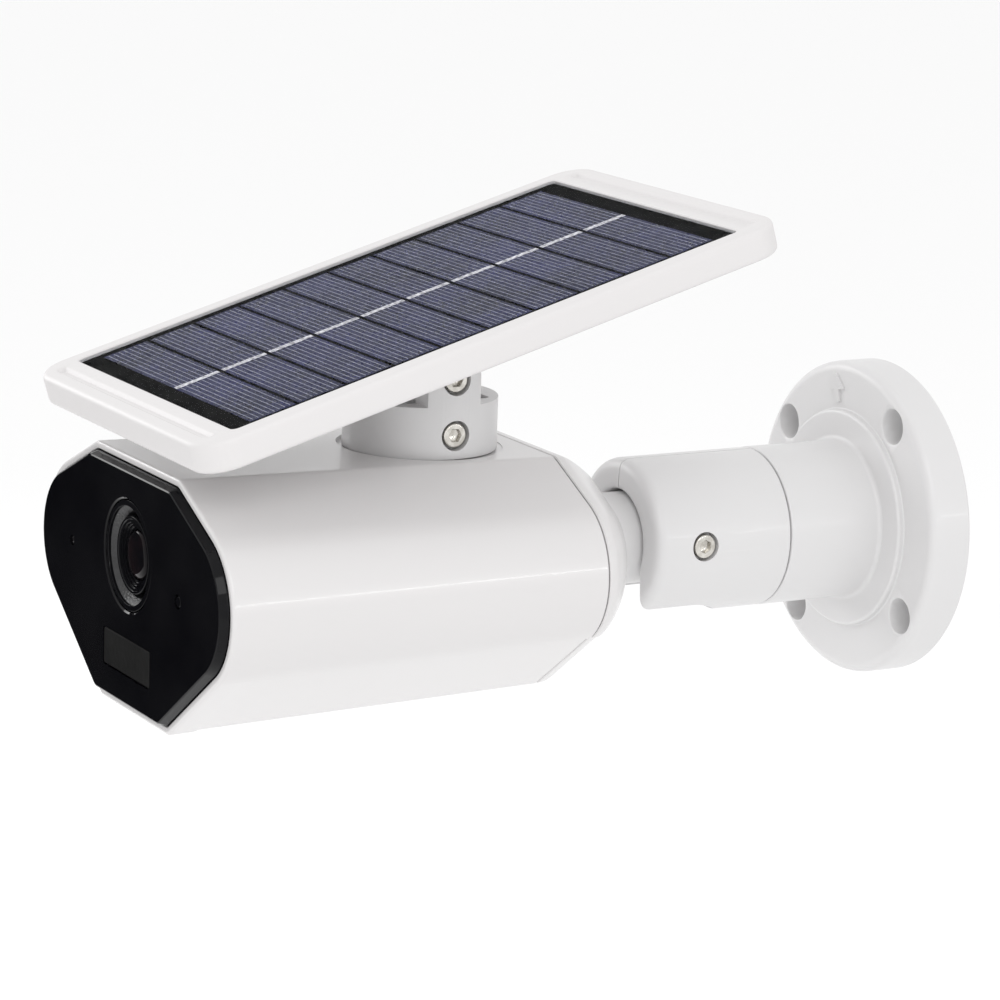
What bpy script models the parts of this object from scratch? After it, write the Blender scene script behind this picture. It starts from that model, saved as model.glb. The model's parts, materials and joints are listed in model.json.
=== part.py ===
"""Solar-powered security camera on a three-axis wall bracket.

World frame, metres: the origin is the centre of the wall flange's back face, +Y points into the
wall, +Z is up, and the camera looks along -Y. Sizes below are in millimetres and are scaled when a
mesh is made. Most pieces are drawn in the "out" frame: x to the right, y up, z out from the wall.
The turntable and the solar panel have frames of their own, on their own joint axes.
"""
import math

import bmesh
import bpy
from mathutils import Matrix

MM = 0.001
GAP = 0.3                      # clearance between pieces that meet

# Wall flange and neck
FLANGE_RADIUS = 37.1
FLANGE_THICK = 10.8
BOSS_RADIUS = 25.7
BOSS_TOP = 12.5
NECK_RADIUS = 18.6
NECK_END = 37.0
SPIGOT_RADIUS = 11.0
COLLAR_RADIUS = 14.0
COLLAR_START = 40.4
COLLAR_END = 43.4
WALL_HOLES = 4
WALL_HOLE_CIRCLE = 31.3
WALL_HOLE_TURN = 54.0          # degrees from +X to the first wall hole
WALL_HOLE_RADIUS = 3.0
WALL_SINK_RADIUS = 4.1
WALL_SINK_FLOOR = 3.4

# Clamp arm, knuckle and stem
ARM_RADIUS = 18.5
ARM_END = 73.2
PIVOT_OUT = 60.3
PIVOT_UP = 0.8
KNUCKLE_RADIUS = 13.2
STEM_RADIUS = 10.7
MOUTH_RADIUS = 11.4
SLOT_HALF = 11.3
PIN_RADIUS = 8.0
PIN_END = 91.0
RETAINER_RADIUS = 12.0

# Camera body: half outline of the section, above the bottom face and inside the white rim
TOP_HALF = 21.5
TOP_UP = 25.2
SHOULDER = (38.5, 17.3)
FLANK_RADIUS = 16.3
FLANK_STEP = 0.6               # fine step along the flank's lower edge
SLOPE_TURN = 35.5              # degrees, slope of the underside
KEEL_UP = -27.7
ARC_STEPS = 8
SECTION_MID = -1.2             # height that the body tapers towards
BODY_GROW = 2.0                # white shell outside the black front plate's outline
WALL_THICK = 2.5
BODY_FRONT = 193.5
BODY_REAR = 102.2
REAR_SCALE = 0.935
CAP_BACK = 85.0
CAP_RINGS = ((101.9, 1.0), (99.8, 0.985), (98.0, 0.95), (95.0, 0.87), (92.0, 0.78), (89.0, 0.68),
             (86.5, 0.58), (CAP_BACK, 0.51))   # distance from the wall, share of the full width
CAP_UP_SHARE = 0.8             # how much of the narrowing the height takes
CAP_INNER_SHARE = 0.97
CAP_WALL = 2.6
TONGUE = 3.0
TONGUE_THICK = 1.8
LEDGE_FRONT = 190.9
LEDGE_BACK = 188.6
LEDGE_GROW = -2.5

# Front plate and what looks through it
PLATE_BACK = 192.0
PLATE_EDGE = 193.7
PLATE_FRONT = 195.5
PLATE_BEVEL = 0.8
LENS_UP = 6.1
LENS_HOLE = 12.4
PIR_HALF = (12.6, 4.3)
PIR_UP = -16.5
LIGHT_SENSOR_AT = (-30.5, 3.0)
LIGHT_SENSOR_RADIUS = 1.2
STATUS_LED_AT = (26.5, 2.0)
STATUS_LED_RADIUS = 1.6
IR_LED_AT = (19.5, 8.0)
CHASSIS_BACK = 184.6
CHASSIS_FRONT = 188.3
MOUNT_RADIUS = 8.5
BARREL_BACK = 178.6
SENSOR_OUT = 174.9
PIR_OUT = 181.4

# Battery, board and service hatch
CELL_RADIUS = 9.2
CELL_LENGTH = 65.0
CELL_PITCH = 19.4
CELL_UP = -8.4
CELL_START = 106.4
TRAY_HALF = 34.0
POST_X = 31.2
POST_OUT = (112.0, 166.0)
BOARD_UP = 3.4
BOARD_THICK = 1.6
HATCH_HALF = 12.0
HATCH_OUT = (138.0, 158.0)
PORT_PLATE_UP = -25.6
PORT_PLATE_THICK = 1.4
HATCH_THICK = 1.8
HINGE_IN = 0.9                 # hinge line ahead of the opening's rear edge
HINGE_RAISE = 0.6
USB_AT = (-5.5, 142.5)
CARD_AT = (-3.0, 152.0)
RESET_AT = (8.0, 152.0)
RESET_RADIUS = 1.5
RESET_TRAVEL = 0.6
SWITCH_AT = (4.6, 142.5)
SWITCH_TRAVEL = 2.8

# Turntable
TURN_OUT = 125.2
TURN_RADIUS = 17.3
TURN_BASE = 25.6
TURN_RIM = 37.3
RECESS_RADIUS = 18.6
TILT_UP = 43.2
LOCK_UP = 30.9
EAR_HALF = 6.5
EAR_INSIDE = 10.0
TURN_PIN = 8.0
RECESS_FLOOR = 25.3
HUB_FLANGE = 23.0
HUB_TOP = 33.6
HUB_GROOVE_RADIUS = 7.2
HUB_GROOVE = (29.0, 32.7)
POCKET_FLOOR = 35.0
POCKET_HALF = 12.4

# Solar panel, in its own frame: origin on the tilt axis, z square to the glass
PANEL_TILT = 16.6              # degrees, front end low
PANEL_HALF = (45.8, 72.3)
PANEL_CORNER = 8.0
GLASS_HALF = (40.9, 62.5)
GLASS_TOP = 16.6
RIM_TOP = 16.9
FRAME_LOW = 9.9
GROOVE_AT = 67.6
LUG_RADIUS = 6.0

# Socket-head screws
HEAD_RADIUS = 2.75
HEAD_HEIGHT = 2.6
SHANK_RADIUS = 1.45
SOCKET_RADIUS = 1.55
SOCKET_DEPTH = 1.5
HEAD_SINK = 3.4
SHANK_HOLE = 1.8
NUT_RADIUS = 3.0

ROUND = 40                     # steps round a large circle
SMALL = 20                     # steps round a small one

COLOURS = {
    "white_shell": ((0.88, 0.87, 0.86), 0.28, 0.0),
    "white_arm": ((0.86, 0.86, 0.86), 0.38, 0.0),
    "black_acrylic": ((0.006, 0.006, 0.007), 0.05, 0.0),
    "black_plastic": ((0.02, 0.02, 0.022), 0.45, 0.0),
    "pir_film": ((0.05, 0.05, 0.055), 0.5, 0.0),
    "lens_glass": ((0.02, 0.03, 0.05), 0.03, 0.0),
    "steel": ((0.62, 0.61, 0.58), 0.25, 1.0),
    "rubber": ((0.03, 0.03, 0.03), 0.8, 0.0),
    "silicone": ((0.8, 0.8, 0.79), 0.6, 0.0),
    "circuit_board": ((0.02, 0.12, 0.05), 0.5, 0.0),
    "solar_cell": ((0.02, 0.025, 0.09), 0.3, 0.0),
    "clear_glass": ((0.75, 0.8, 0.85), 0.05, 0.0),
    "battery_wrap": ((0.05, 0.2, 0.45), 0.4, 0.0),
    "tin": ((0.7, 0.7, 0.68), 0.35, 1.0),
}


# ---- scene, frames, materials ---------------------------------------------------------------

def clear_scene():
    for item in list(bpy.data.objects):
        bpy.data.objects.remove(item, do_unlink=True)


def material(slot):
    found = bpy.data.materials.get(slot)
    if found:
        return found
    colour, roughness, metallic = COLOURS[slot]
    made = bpy.data.materials.new(slot)
    made.use_nodes = True
    shader = made.node_tree.nodes["Principled BSDF"]
    shader.inputs["Base Color"].default_value = (*colour, 1.0)
    shader.inputs["Roughness"].default_value = roughness
    shader.inputs["Metallic"].default_value = metallic
    made.diffuse_color = (*colour, 1.0)
    return made


def frame(name, at, turn=(0.0, 0.0, 0.0)):
    """An empty on a joint's axis: at in millimetres, world; turn in degrees."""
    empty = bpy.data.objects.new(name, None)
    empty.empty_display_size = 0.01
    empty.location = [value * MM for value in at]
    empty.rotation_euler = [math.radians(value) for value in turn]
    bpy.context.scene.collection.objects.link(empty)
    return empty


def piece(name, bm, slot, parent, smooth=True):
    """Turn a bmesh drawn in millimetres into an object that hangs from a frame."""
    bmesh.ops.transform(bm, matrix=Matrix.Scale(MM, 4), verts=bm.verts)
    bmesh.ops.recalc_face_normals(bm, faces=bm.faces)
    mesh = bpy.data.meshes.new(name)
    bm.to_mesh(mesh)
    bm.free()
    mesh.materials.append(material(slot))
    if smooth:
        mesh.shade_smooth()
        mesh.set_sharp_from_angle(angle=math.radians(32))
    made = bpy.data.objects.new(name, mesh)
    made.parent = parent
    bpy.context.scene.collection.objects.link(made)
    return made


def change(target, tool_bm, operation="DIFFERENCE"):
    """Cut a target with a tool shape, or join the tool to it, in the target's own frame."""
    tool = piece("tool_" + target.name, tool_bm, "steel", target.parent, smooth=False)
    tool.hide_render = True
    tool.display_type = "WIRE"
    boolean = target.modifiers.new(operation.lower(), "BOOLEAN")
    boolean.operation = operation
    boolean.solver = "EXACT"
    boolean.object = tool
    return target


# ---- shapes, in millimetres ------------------------------------------------------------------

def skin(rings, closed=False):
    """Join rings of points into one solid, capped at its ends or closed into a loop."""
    bm = bmesh.new()
    rows = [[bm.verts.new(point) for point in ring] for ring in rings]
    pairs = list(zip(rows, rows[1:]))
    if closed:
        pairs.append((rows[-1], rows[0]))
    for low, high in pairs:
        if len(low) == 1 and len(high) == 1:
            continue
        count = max(len(low), len(high))
        for step in range(count):
            after = (step + 1) % count
            if len(low) == 1:
                bm.faces.new((low[0], high[after], high[step]))
            elif len(high) == 1:
                bm.faces.new((low[step], low[after], high[0]))
            else:
                bm.faces.new((low[step], low[after], high[after], high[step]))
    if not closed:
        for row in (rows[0], rows[-1]):
            if len(row) > 2:
                bm.faces.new(row)
    return bm


def turned(profile, steps=ROUND, centre=(0.0, 0.0), axis="z", closed=False):
    """Turn a profile of (radius, height) pairs about an axis; radius 0 makes a pole."""
    rings = []
    for radius, height in profile:
        angles = [0.0] if radius == 0 else [2 * math.pi * step / steps for step in range(steps)]
        ring = []
        for angle in angles:
            a = centre[0] + radius * math.cos(angle)
            b = centre[1] + radius * math.sin(angle)
            ring.append({"z": (a, b, height), "x": (height, a, b), "y": (b, height, a)}[axis])
        rings.append(ring)
    return skin(rings, closed)


def rod(radius, low, high, centre=(0.0, 0.0), axis="z", steps=SMALL):
    return turned([(radius, low), (radius, high)], steps, centre, axis)


def tube(inside, outside, low, high, centre=(0.0, 0.0), axis="z", steps=ROUND):
    profile = [(inside, low), (outside, low), (outside, high), (inside, high)]
    return turned(profile, steps, centre, axis, closed=True)


def ball(radius, centre, rows=16, steps=ROUND):
    """A sphere whose poles lie on the z axis; centre is (x, y, z)."""
    profile = []
    for row in range(rows + 1):
        angle = math.pi * row / rows
        reach = 0 if row in (0, rows) else radius * math.sin(angle)
        profile.append((reach, centre[2] - radius * math.cos(angle)))
    return turned(profile, steps, centre[:2])


def block(low, high):
    corners = [(low[0], low[1]), (high[0], low[1]), (high[0], high[1]), (low[0], high[1])]
    return prism(corners, low[2], high[2])


def prism(outline, low, high):
    """Extrude an outline of (x, y) points along z."""
    return skin([[(a, b, level) for a, b in outline] for level in (low, high)])


def prism_x(outline, low, high):
    """Extrude an outline of (y, z) points along x."""
    return skin([[(level, a, b) for a, b in outline] for level in (low, high)])


def grown(half, more):
    return half[0] + more, half[1] + more


def arch(half, centre, foot, steps=12):
    """Outline of (y, z) points: a tab with a round top, or a round foot where foot is above."""
    sign = 1 if foot < centre[1] else -1
    points = [(centre[0] + half, foot)]
    for step in range(steps + 1):
        angle = math.pi * step / steps
        points.append((centre[0] + half * math.cos(angle), centre[1] + sign * half * math.sin(angle)))
    points.append((centre[0] - half, foot))
    return points


def rounded(half, corner, level, steps=4):
    """A ring: a rectangle with round corners, centred on the z axis."""
    ring = []
    for quarter, (sx, sy) in enumerate(((1, 1), (-1, 1), (-1, -1), (1, -1))):
        for step in range(steps + 1):
            angle = math.pi / 2 * (quarter + step / steps)
            ring.append((sx * (half[0] - corner) + corner * math.cos(angle),
                         sy * (half[1] - corner) + corner * math.sin(angle), level))
    return ring


def meet(point, along, other, other_along):
    """Where two lines cross, each given by a point and a direction."""
    cross = along[0] * other_along[1] - along[1] * other_along[0]
    reach = ((other[0] - point[0]) * other_along[1] - (other[1] - point[1]) * other_along[0]) / cross
    return point[0] + along[0] * reach, point[1] + along[1] * reach


def half_section(grow):
    """Right half of the body's section, top to bottom, moved outward by grow all round.

    A flat top, a straight shoulder, a flank that is an arc tangent to the shoulder, a fine step in,
    a straight slope under it and a flat keel.
    """
    run, fall = SHOULDER[0] - TOP_HALF, SHOULDER[1] - TOP_UP
    length = math.hypot(run, fall)
    along = (run / length, fall / length)
    normal = (-along[1], along[0])
    centre = (SHOULDER[0] - normal[0] * FLANK_RADIUS, SHOULDER[1] - normal[1] * FLANK_RADIUS)
    on_shoulder = (SHOULDER[0] + normal[0] * grow, SHOULDER[1] + normal[1] * grow)
    points = [meet(on_shoulder, along, (0, TOP_UP + grow), (1, 0))]
    radius = FLANK_RADIUS + grow
    start = math.atan2(normal[1], normal[0])
    end = math.radians(SLOPE_TURN - 90)
    for step in range(ARC_STEPS + 1):
        angle = start + (end - start) * step / ARC_STEPS
        points.append((centre[0] + radius * math.cos(angle), centre[1] + radius * math.sin(angle)))
    radius -= FLANK_STEP
    points.append((centre[0] + radius * math.cos(end), centre[1] + radius * math.sin(end)))
    slope = (math.sin(end), -math.cos(end))
    points.append(meet(points[-1], slope, (0, KEEL_UP - grow), (1, 0)))
    return points


def body_scale(out):
    """The body narrows evenly from its front to its rear parting line."""
    share = (min(out, BODY_FRONT) - BODY_REAR) / (BODY_FRONT - BODY_REAR)
    return REAR_SCALE + (1 - REAR_SCALE) * share


def section(grow, out, across=1.0, upward=1.0):
    """A ring of the body's section at a distance from the wall, with optional extra scales."""
    scale = body_scale(max(out, BODY_REAR))
    right = half_section(grow)
    outline = right + [(-x, y) for x, y in reversed(right)]
    return [(x * scale * across, SECTION_MID + (y - SECTION_MID) * scale * upward, out)
            for x, y in outline]


def keel_at(out):
    return SECTION_MID + (KEEL_UP - BODY_GROW - SECTION_MID) * body_scale(out)


def socket_screw(name, parent, seat, tip, up, out):
    """Socket-head screw along x: its head sits outward of seat and its shank ends at tip."""
    head = seat + HEAD_HEIGHT
    profile = [(0, tip), (SHANK_RADIUS, tip), (SHANK_RADIUS, seat), (HEAD_RADIUS, seat),
               (HEAD_RADIUS, head - 0.3), (HEAD_RADIUS - 0.3, head), (0, head)]
    screw = piece(name, turned(profile, SMALL, (up, out), "x"), "steel", parent)
    socket = rod(SOCKET_RADIUS, head - SOCKET_DEPTH, head + 1, (up, out), "x", steps=6)
    return change(screw, socket)


def hex_nut(name, parent, low, high, up, out):
    nut = rod(NUT_RADIUS, low, high, (up, out), "x", steps=6)
    made = piece(name, nut, "steel", parent, smooth=False)
    return change(made, rod(SHANK_HOLE, low - 1, high + 1, (up, out), "x"))


# ---- bracket ---------------------------------------------------------------------------------

def wall_flange(wall):
    profile = [(0, 0), (36.4, 0), (FLANGE_RADIUS, 0.7), (FLANGE_RADIUS, 8.8), (36.5, 10.2),
               (35.2, FLANGE_THICK), (26.6, FLANGE_THICK), (BOSS_RADIUS, 11.4), (25.3, 12.2),
               (24.5, BOSS_TOP), (19.8, BOSS_TOP), (18.9, 12.9), (NECK_RADIUS, 13.8),
               (NECK_RADIUS, NECK_END - 0.3), (18.3, NECK_END), (SPIGOT_RADIUS, NECK_END),
               (SPIGOT_RADIUS, COLLAR_START), (COLLAR_RADIUS, COLLAR_START),
               (COLLAR_RADIUS, COLLAR_END), (0, COLLAR_END)]
    flange = piece("wall_flange", turned(profile, 48), "white_arm", wall)
    for hole in range(WALL_HOLES):
        angle = math.radians(WALL_HOLE_TURN + 360 * hole / WALL_HOLES)
        centre = (WALL_HOLE_CIRCLE * math.cos(angle), WALL_HOLE_CIRCLE * math.sin(angle))
        sink = [(0, -1), (WALL_HOLE_RADIUS, -1), (WALL_HOLE_RADIUS, WALL_SINK_FLOOR),
                (WALL_SINK_RADIUS, WALL_SINK_FLOOR + 1), (WALL_SINK_RADIUS, FLANGE_THICK + 1),
                (0, FLANGE_THICK + 1)]
        change(flange, turned(sink, 24, centre))


def arm_shell(name, side, arm):
    """One half of the clamp arm; side is +1 for the half at +X."""
    profile = [(0, NECK_END + GAP), (18.2, NECK_END + GAP), (ARM_RADIUS, NECK_END + 2 * GAP),
               (ARM_RADIUS, 70.0), (18.1, 71.3), (17.2, 72.3), (15.9, 72.8), (12.6, ARM_END),
               (0, ARM_END)]
    shell = piece(name, turned(profile, 48), "white_arm", arm)
    groove = [(0, NECK_END - 1), (SPIGOT_RADIUS + GAP, NECK_END - 1),
              (SPIGOT_RADIUS + GAP, COLLAR_START - GAP), (COLLAR_RADIUS + GAP, COLLAR_START - GAP),
              (COLLAR_RADIUS + GAP, COLLAR_END + GAP), (0, COLLAR_END + GAP)]
    change(shell, turned(groove, 48))
    change(shell, rod(MOUTH_RADIUS, PIVOT_OUT + 3, ARM_END + 4, steps=48))
    change(shell, ball(KNUCKLE_RADIUS + 0.4, (0, PIVOT_UP, PIVOT_OUT), 18, 36))
    slot_centre = PIVOT_OUT - PIVOT_UP
    slot = arch(SLOT_HALF, (0, slot_centre), ARM_END + 5)
    change(shell, skin([[(x, level, out) for x, out in slot] for level in (-30, 0.5)]))
    if side > 0:
        change(shell, rod(HEAD_SINK, ARM_RADIUS - 2.9, ARM_RADIUS + 3, (PIVOT_UP, PIVOT_OUT), "x"))
    else:
        pocket = rod(NUT_RADIUS + GAP, -ARM_RADIUS - 3, -ARM_RADIUS + 3.0, (PIVOT_UP, PIVOT_OUT),
                     "x", steps=6)
        change(shell, pocket)
    change(shell, rod(SHANK_HOLE, -ARM_RADIUS + 1, ARM_RADIUS - 1, (PIVOT_UP, PIVOT_OUT), "x"))
    near, far = sorted((0.15 * side, -30 * side))
    change(shell, block((near, -30, 30), (far, 30, 80)))


def bracket(wall, arm, knuckle):
    wall_flange(wall)
    arm_shell("arm_shell_right", 1, arm)
    arm_shell("arm_shell_left", -1, arm)
    seat = ARM_RADIUS - 2.9 + 0.1
    socket_screw("clamp_screw", arm, seat, -ARM_RADIUS + 0.6, PIVOT_UP, PIVOT_OUT)
    hex_nut("clamp_nut", arm, -ARM_RADIUS + 0.5, -ARM_RADIUS + 2.8, PIVOT_UP, PIVOT_OUT)
    stem = [(0, PIVOT_OUT + 1), (STEM_RADIUS, PIVOT_OUT + 1), (STEM_RADIUS, CAP_BACK - 0.8),
            (STEM_RADIUS - 0.5, CAP_BACK - GAP), (PIN_RADIUS, CAP_BACK - GAP),
            (PIN_RADIUS, PIN_END), (0, PIN_END)]
    body = piece("stem_knuckle", turned(stem), "white_arm", knuckle)
    change(body, ball(KNUCKLE_RADIUS, (0, PIVOT_UP, PIVOT_OUT), 18, ROUND), "UNION")
    change(body, rod(SHANK_HOLE, -20, 20, (PIVOT_UP, PIVOT_OUT), "x"))
    change(body, rod(SHANK_HOLE, PIN_END - 9, PIN_END + 2))
    low = PIN_END + GAP
    retainer = tube(SHANK_HOLE, RETAINER_RADIUS, low, low + 1.6)
    piece("stem_retainer", retainer, "steel", knuckle)
    head = low + 1.6 + 0.2
    screw = [(0, PIN_END - 8), (SHANK_RADIUS, PIN_END - 8), (SHANK_RADIUS, head),
             (HEAD_RADIUS, head), (HEAD_RADIUS, head + 1.6), (0, head + 1.6)]
    piece("retainer_screw", turned(screw, SMALL), "steel", knuckle)


# ---- camera body -----------------------------------------------------------------------------

def rear_cap(camera):
    inside = BODY_GROW - WALL_THICK
    rings = [section(BODY_GROW, out, scale, 1 - CAP_UP_SHARE * (1 - scale))
             for out, scale in reversed(CAP_RINGS)]
    rings.append(section(inside - GAP, CAP_RINGS[0][0]))
    rings.append(section(inside - GAP, BODY_REAR + TONGUE))
    rings.append(section(inside - TONGUE_THICK, BODY_REAR + TONGUE))
    rings.append(section(inside - TONGUE_THICK, CAP_RINGS[0][0]))
    for out, scale in CAP_RINGS[2:]:
        narrowed = scale * CAP_INNER_SHARE
        rings.append(section(inside, out + CAP_WALL, narrowed, 1 - CAP_UP_SHARE * (1 - narrowed)))
    cap = piece("rear_cap", skin(rings), "white_shell", camera)
    change(cap, rod(PIN_RADIUS + GAP, CAP_BACK - 2, CAP_BACK + 6, steps=ROUND))
    washer = tube(PIN_RADIUS + GAP, RETAINER_RADIUS, CAP_BACK + CAP_WALL + GAP, PIN_END)
    piece("swivel_washer", washer, "rubber", camera)


def housing(camera):
    inside = BODY_GROW - WALL_THICK
    profile = [(BODY_GROW, BODY_REAR), (BODY_GROW, BODY_FRONT - 2.9),
               (BODY_GROW - 0.25, BODY_FRONT - 1.3), (BODY_GROW - 0.8, BODY_FRONT - 0.4),
               (BODY_GROW - 1.4, BODY_FRONT), (GAP, BODY_FRONT), (GAP, LEDGE_FRONT),
               (LEDGE_GROW, LEDGE_FRONT), (LEDGE_GROW, LEDGE_BACK), (inside, LEDGE_BACK - 1.2),
               (inside, BODY_REAR)]
    rings = [section(grow, out) for grow, out in profile]
    body = piece("housing", skin(rings, closed=True), "white_shell", camera)
    change(body, rod(RECESS_RADIUS, RECESS_FLOOR, 40, (TURN_OUT, 0), "y", ROUND))
    change(body, rod(TURN_PIN + GAP, 0, 40, (TURN_OUT, 0), "y", 32))
    change(body, block((-HATCH_HALF, -40, HATCH_OUT[0]), (HATCH_HALF, -20, HATCH_OUT[1])))


def front_plate(camera):
    rings = [section(0, PLATE_BACK), section(0, PLATE_EDGE), section(-PLATE_BEVEL, PLATE_FRONT)]
    plate = piece("front_plate", skin(rings), "black_acrylic", camera)
    back, front = PLATE_BACK - 2, PLATE_FRONT + 2
    change(plate, rod(LENS_HOLE, back, front, (0, LENS_UP), steps=ROUND))
    change(plate, block((-PIR_HALF[0], PIR_UP - PIR_HALF[1], back),
                        (PIR_HALF[0], PIR_UP + PIR_HALF[1], front)))
    change(plate, rod(LIGHT_SENSOR_RADIUS, back, front, LIGHT_SENSOR_AT, steps=16))
    change(plate, rod(STATUS_LED_RADIUS, back, front, STATUS_LED_AT, steps=16))
    low, high = LEDGE_FRONT + GAP, PLATE_BACK - GAP
    ring = [section(grow, out) for grow, out in
            ((LEDGE_GROW, low), (-0.2, low), (-0.2, high), (LEDGE_GROW, high))]
    piece("front_gasket", skin(ring, closed=True), "rubber", camera)


def front_chassis(camera):
    edge = LEDGE_GROW - 0.8
    rings = [section(edge, CHASSIS_BACK), section(edge, CHASSIS_FRONT),
             section(edge - 1.8, CHASSIS_FRONT), section(edge - 1.8, CHASSIS_BACK + 1.8)]
    chassis = piece("front_chassis", skin(rings), "black_plastic", camera)
    back, front = CHASSIS_BACK - 2, CHASSIS_FRONT + 2
    change(chassis, rod(MOUNT_RADIUS + 0.6, back, front, (0, LENS_UP), steps=ROUND))
    change(chassis, block((-PIR_HALF[0], PIR_UP - PIR_HALF[1] - GAP, back),
                          (PIR_HALF[0], PIR_UP + PIR_HALF[1] + GAP, front)))


def lens_group(camera):
    centre = (0, LENS_UP)
    front = PLATE_FRONT
    hood = [(12.1, front - 0.3), (11.5, front - 0.2), (9.5, front - 2.5), (9.1, front - 5.5),
            (9.1, front - 6.9), (10.6, front - 6.9), (12.1, front - 4.5)]
    piece("lens_hood", turned(hood, ROUND, centre, closed=True), "black_plastic", camera)
    barrel = [(5.6, front - 2.5), (8.3, front - 2.5), (8.7, front - 2.9), (8.7, front - 7.5),
              (6.0, front - 7.5), (6.0, BARREL_BACK), (4.4, BARREL_BACK), (4.4, front - 4.9),
              (5.6, front - 4.9)]
    piece("lens_barrel", turned(barrel, 32, centre, closed=True), "black_plastic", camera)
    element = [(0, front - 4.6), (5.3, front - 4.6), (5.3, front - 3.9), (4.2, front - 3.4),
               (2.3, front - 3.0), (0, front - 2.8)]
    piece("lens_front_element", turned(element, 32, centre), "lens_glass", camera)
    rear = [(0, 180.0), (4.1, 180.0), (4.1, 181.0), (2.2, 182.0), (0, 182.3)]
    piece("lens_rear_element", turned(rear, SMALL, centre), "lens_glass", camera)
    mount = piece("lens_mount", rod(MOUNT_RADIUS, SENSOR_OUT + 1.6, front - 7.9, centre, steps=32),
                  "black_plastic", camera)
    base = block((-10, LENS_UP - 10, SENSOR_OUT + 1.6), (10, LENS_UP + 10, SENSOR_OUT + 3.0))
    change(mount, base, "UNION")
    change(mount, rod(6.3, SENSOR_OUT, front, centre, steps=32))
    board = block((-12, LENS_UP - 12, SENSOR_OUT), (12, LENS_UP + 12, SENSOR_OUT + 1.3))
    piece("sensor_board", board, "circuit_board", camera)
    chip = block((-3.2, LENS_UP - 2.6, SENSOR_OUT + 1.6), (3.2, LENS_UP + 2.6, SENSOR_OUT + 2.9))
    piece("image_sensor", chip, "black_plastic", camera)


def front_sensors(camera):
    window = block((-PIR_HALF[0] + GAP, PIR_UP - PIR_HALF[1] + GAP, PLATE_BACK),
                   (PIR_HALF[0] - GAP, PIR_UP + PIR_HALF[1] - GAP, PLATE_FRONT - 0.1))
    piece("pir_window", window, "pir_film", camera)
    can = [(0, PIR_OUT + 1.5), (4.1, PIR_OUT + 1.5), (4.1, PIR_OUT + 5.2), (3.7, PIR_OUT + 5.6),
           (0, PIR_OUT + 5.6)]
    piece("pir_sensor", turned(can, 24, (0, PIR_UP)), "tin", camera)
    board = block((-11, PIR_UP - 5, PIR_OUT), (11, PIR_UP + 5, PIR_OUT + 1.2))
    piece("pir_board", board, "circuit_board", camera)
    back = CHASSIS_BACK + 2.2
    eye = rod(LIGHT_SENSOR_RADIUS - 0.25, back, PLATE_FRONT - 0.1, LIGHT_SENSOR_AT, steps=16)
    piece("light_sensor", eye, "lens_glass", camera)
    lamp = rod(STATUS_LED_RADIUS - 0.25, back, PLATE_FRONT - 0.1, STATUS_LED_AT, steps=16)
    piece("status_led", lamp, "clear_glass", camera)
    dome = [(0, back), (2.4, back), (2.4, back + 2.2), (1.8, back + 3.6), (0, back + 4.4)]
    for name, side in (("ir_led_left", -1), ("ir_led_right", 1)):
        bulb = turned(dome, 16, (side * IR_LED_AT[0], IR_LED_AT[1]))
        piece(name, bulb, "clear_glass", camera)


def power_and_boards(camera):
    low = CELL_START - 0.9
    high = CELL_START + CELL_LENGTH + 0.9
    edge = CELL_UP + 0.9
    half = [(TRAY_HALF, edge), (TRAY_HALF, edge - 2.5), (20.5, CELL_UP - CELL_RADIUS - 1.7)]
    outline = half + [(-x, y) for x, y in reversed(half)]
    tray = piece("battery_tray", prism(outline, low, high), "black_plastic", camera)
    for step, number in ((-1, 1), (0, 2), (1, 3)):
        centre = (step * CELL_PITCH, CELL_UP)
        trough = rod(CELL_RADIUS + GAP, CELL_START - GAP, CELL_START + CELL_LENGTH + GAP, centre,
                     steps=32)
        change(tray, trough)
        end = CELL_START + CELL_LENGTH
        can = [(0, CELL_START), (CELL_RADIUS, CELL_START), (CELL_RADIUS, end - 1.6),
               (CELL_RADIUS - 0.6, end - 1.0), (3.0, end - 1.0), (3.0, end), (0, end)]
        piece("battery_cell_%d" % number, turned(can, 28, centre), "battery_wrap", camera)
    board = block((-TRAY_HALF + 0.5, BOARD_UP, POST_OUT[0] - 4),
                  (TRAY_HALF - 0.5, BOARD_UP + BOARD_THICK, POST_OUT[1] + 4))
    main = piece("main_board", board, "circuit_board", camera)
    corners = [(side * POST_X, out) for side in (-1, 1) for out in POST_OUT]
    for number, (x, out) in enumerate(corners, 1):
        change(tray, rod(2.0, edge - 1, BOARD_UP - GAP, (out, x), "y", 16), "UNION")
        change(tray, rod(1.05, edge + 3, BOARD_UP + 1, (out, x), "y", 12))
        change(main, rod(1.2, BOARD_UP - 1, BOARD_UP + 4, (out, x), "y", 12))
        head = BOARD_UP + BOARD_THICK + 0.2
        screw = [(0, edge + 4), (0.75, edge + 4), (0.75, head), (1.9, head), (1.9, head + 0.7),
                 (1.2, head + 1.2), (0, head + 1.2)]
        piece("board_screw_%d" % number, turned(screw, 12, (out, x), "y"), "steel", camera)
    top = BOARD_UP + BOARD_THICK + GAP
    piece("wifi_module", block((8, top, 140), (24, top + 2.4, 160)), "tin", camera)
    piece("main_chip", block((-20, top, 136), (-6, top + 1.2, 150)), "black_plastic", camera)


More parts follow.
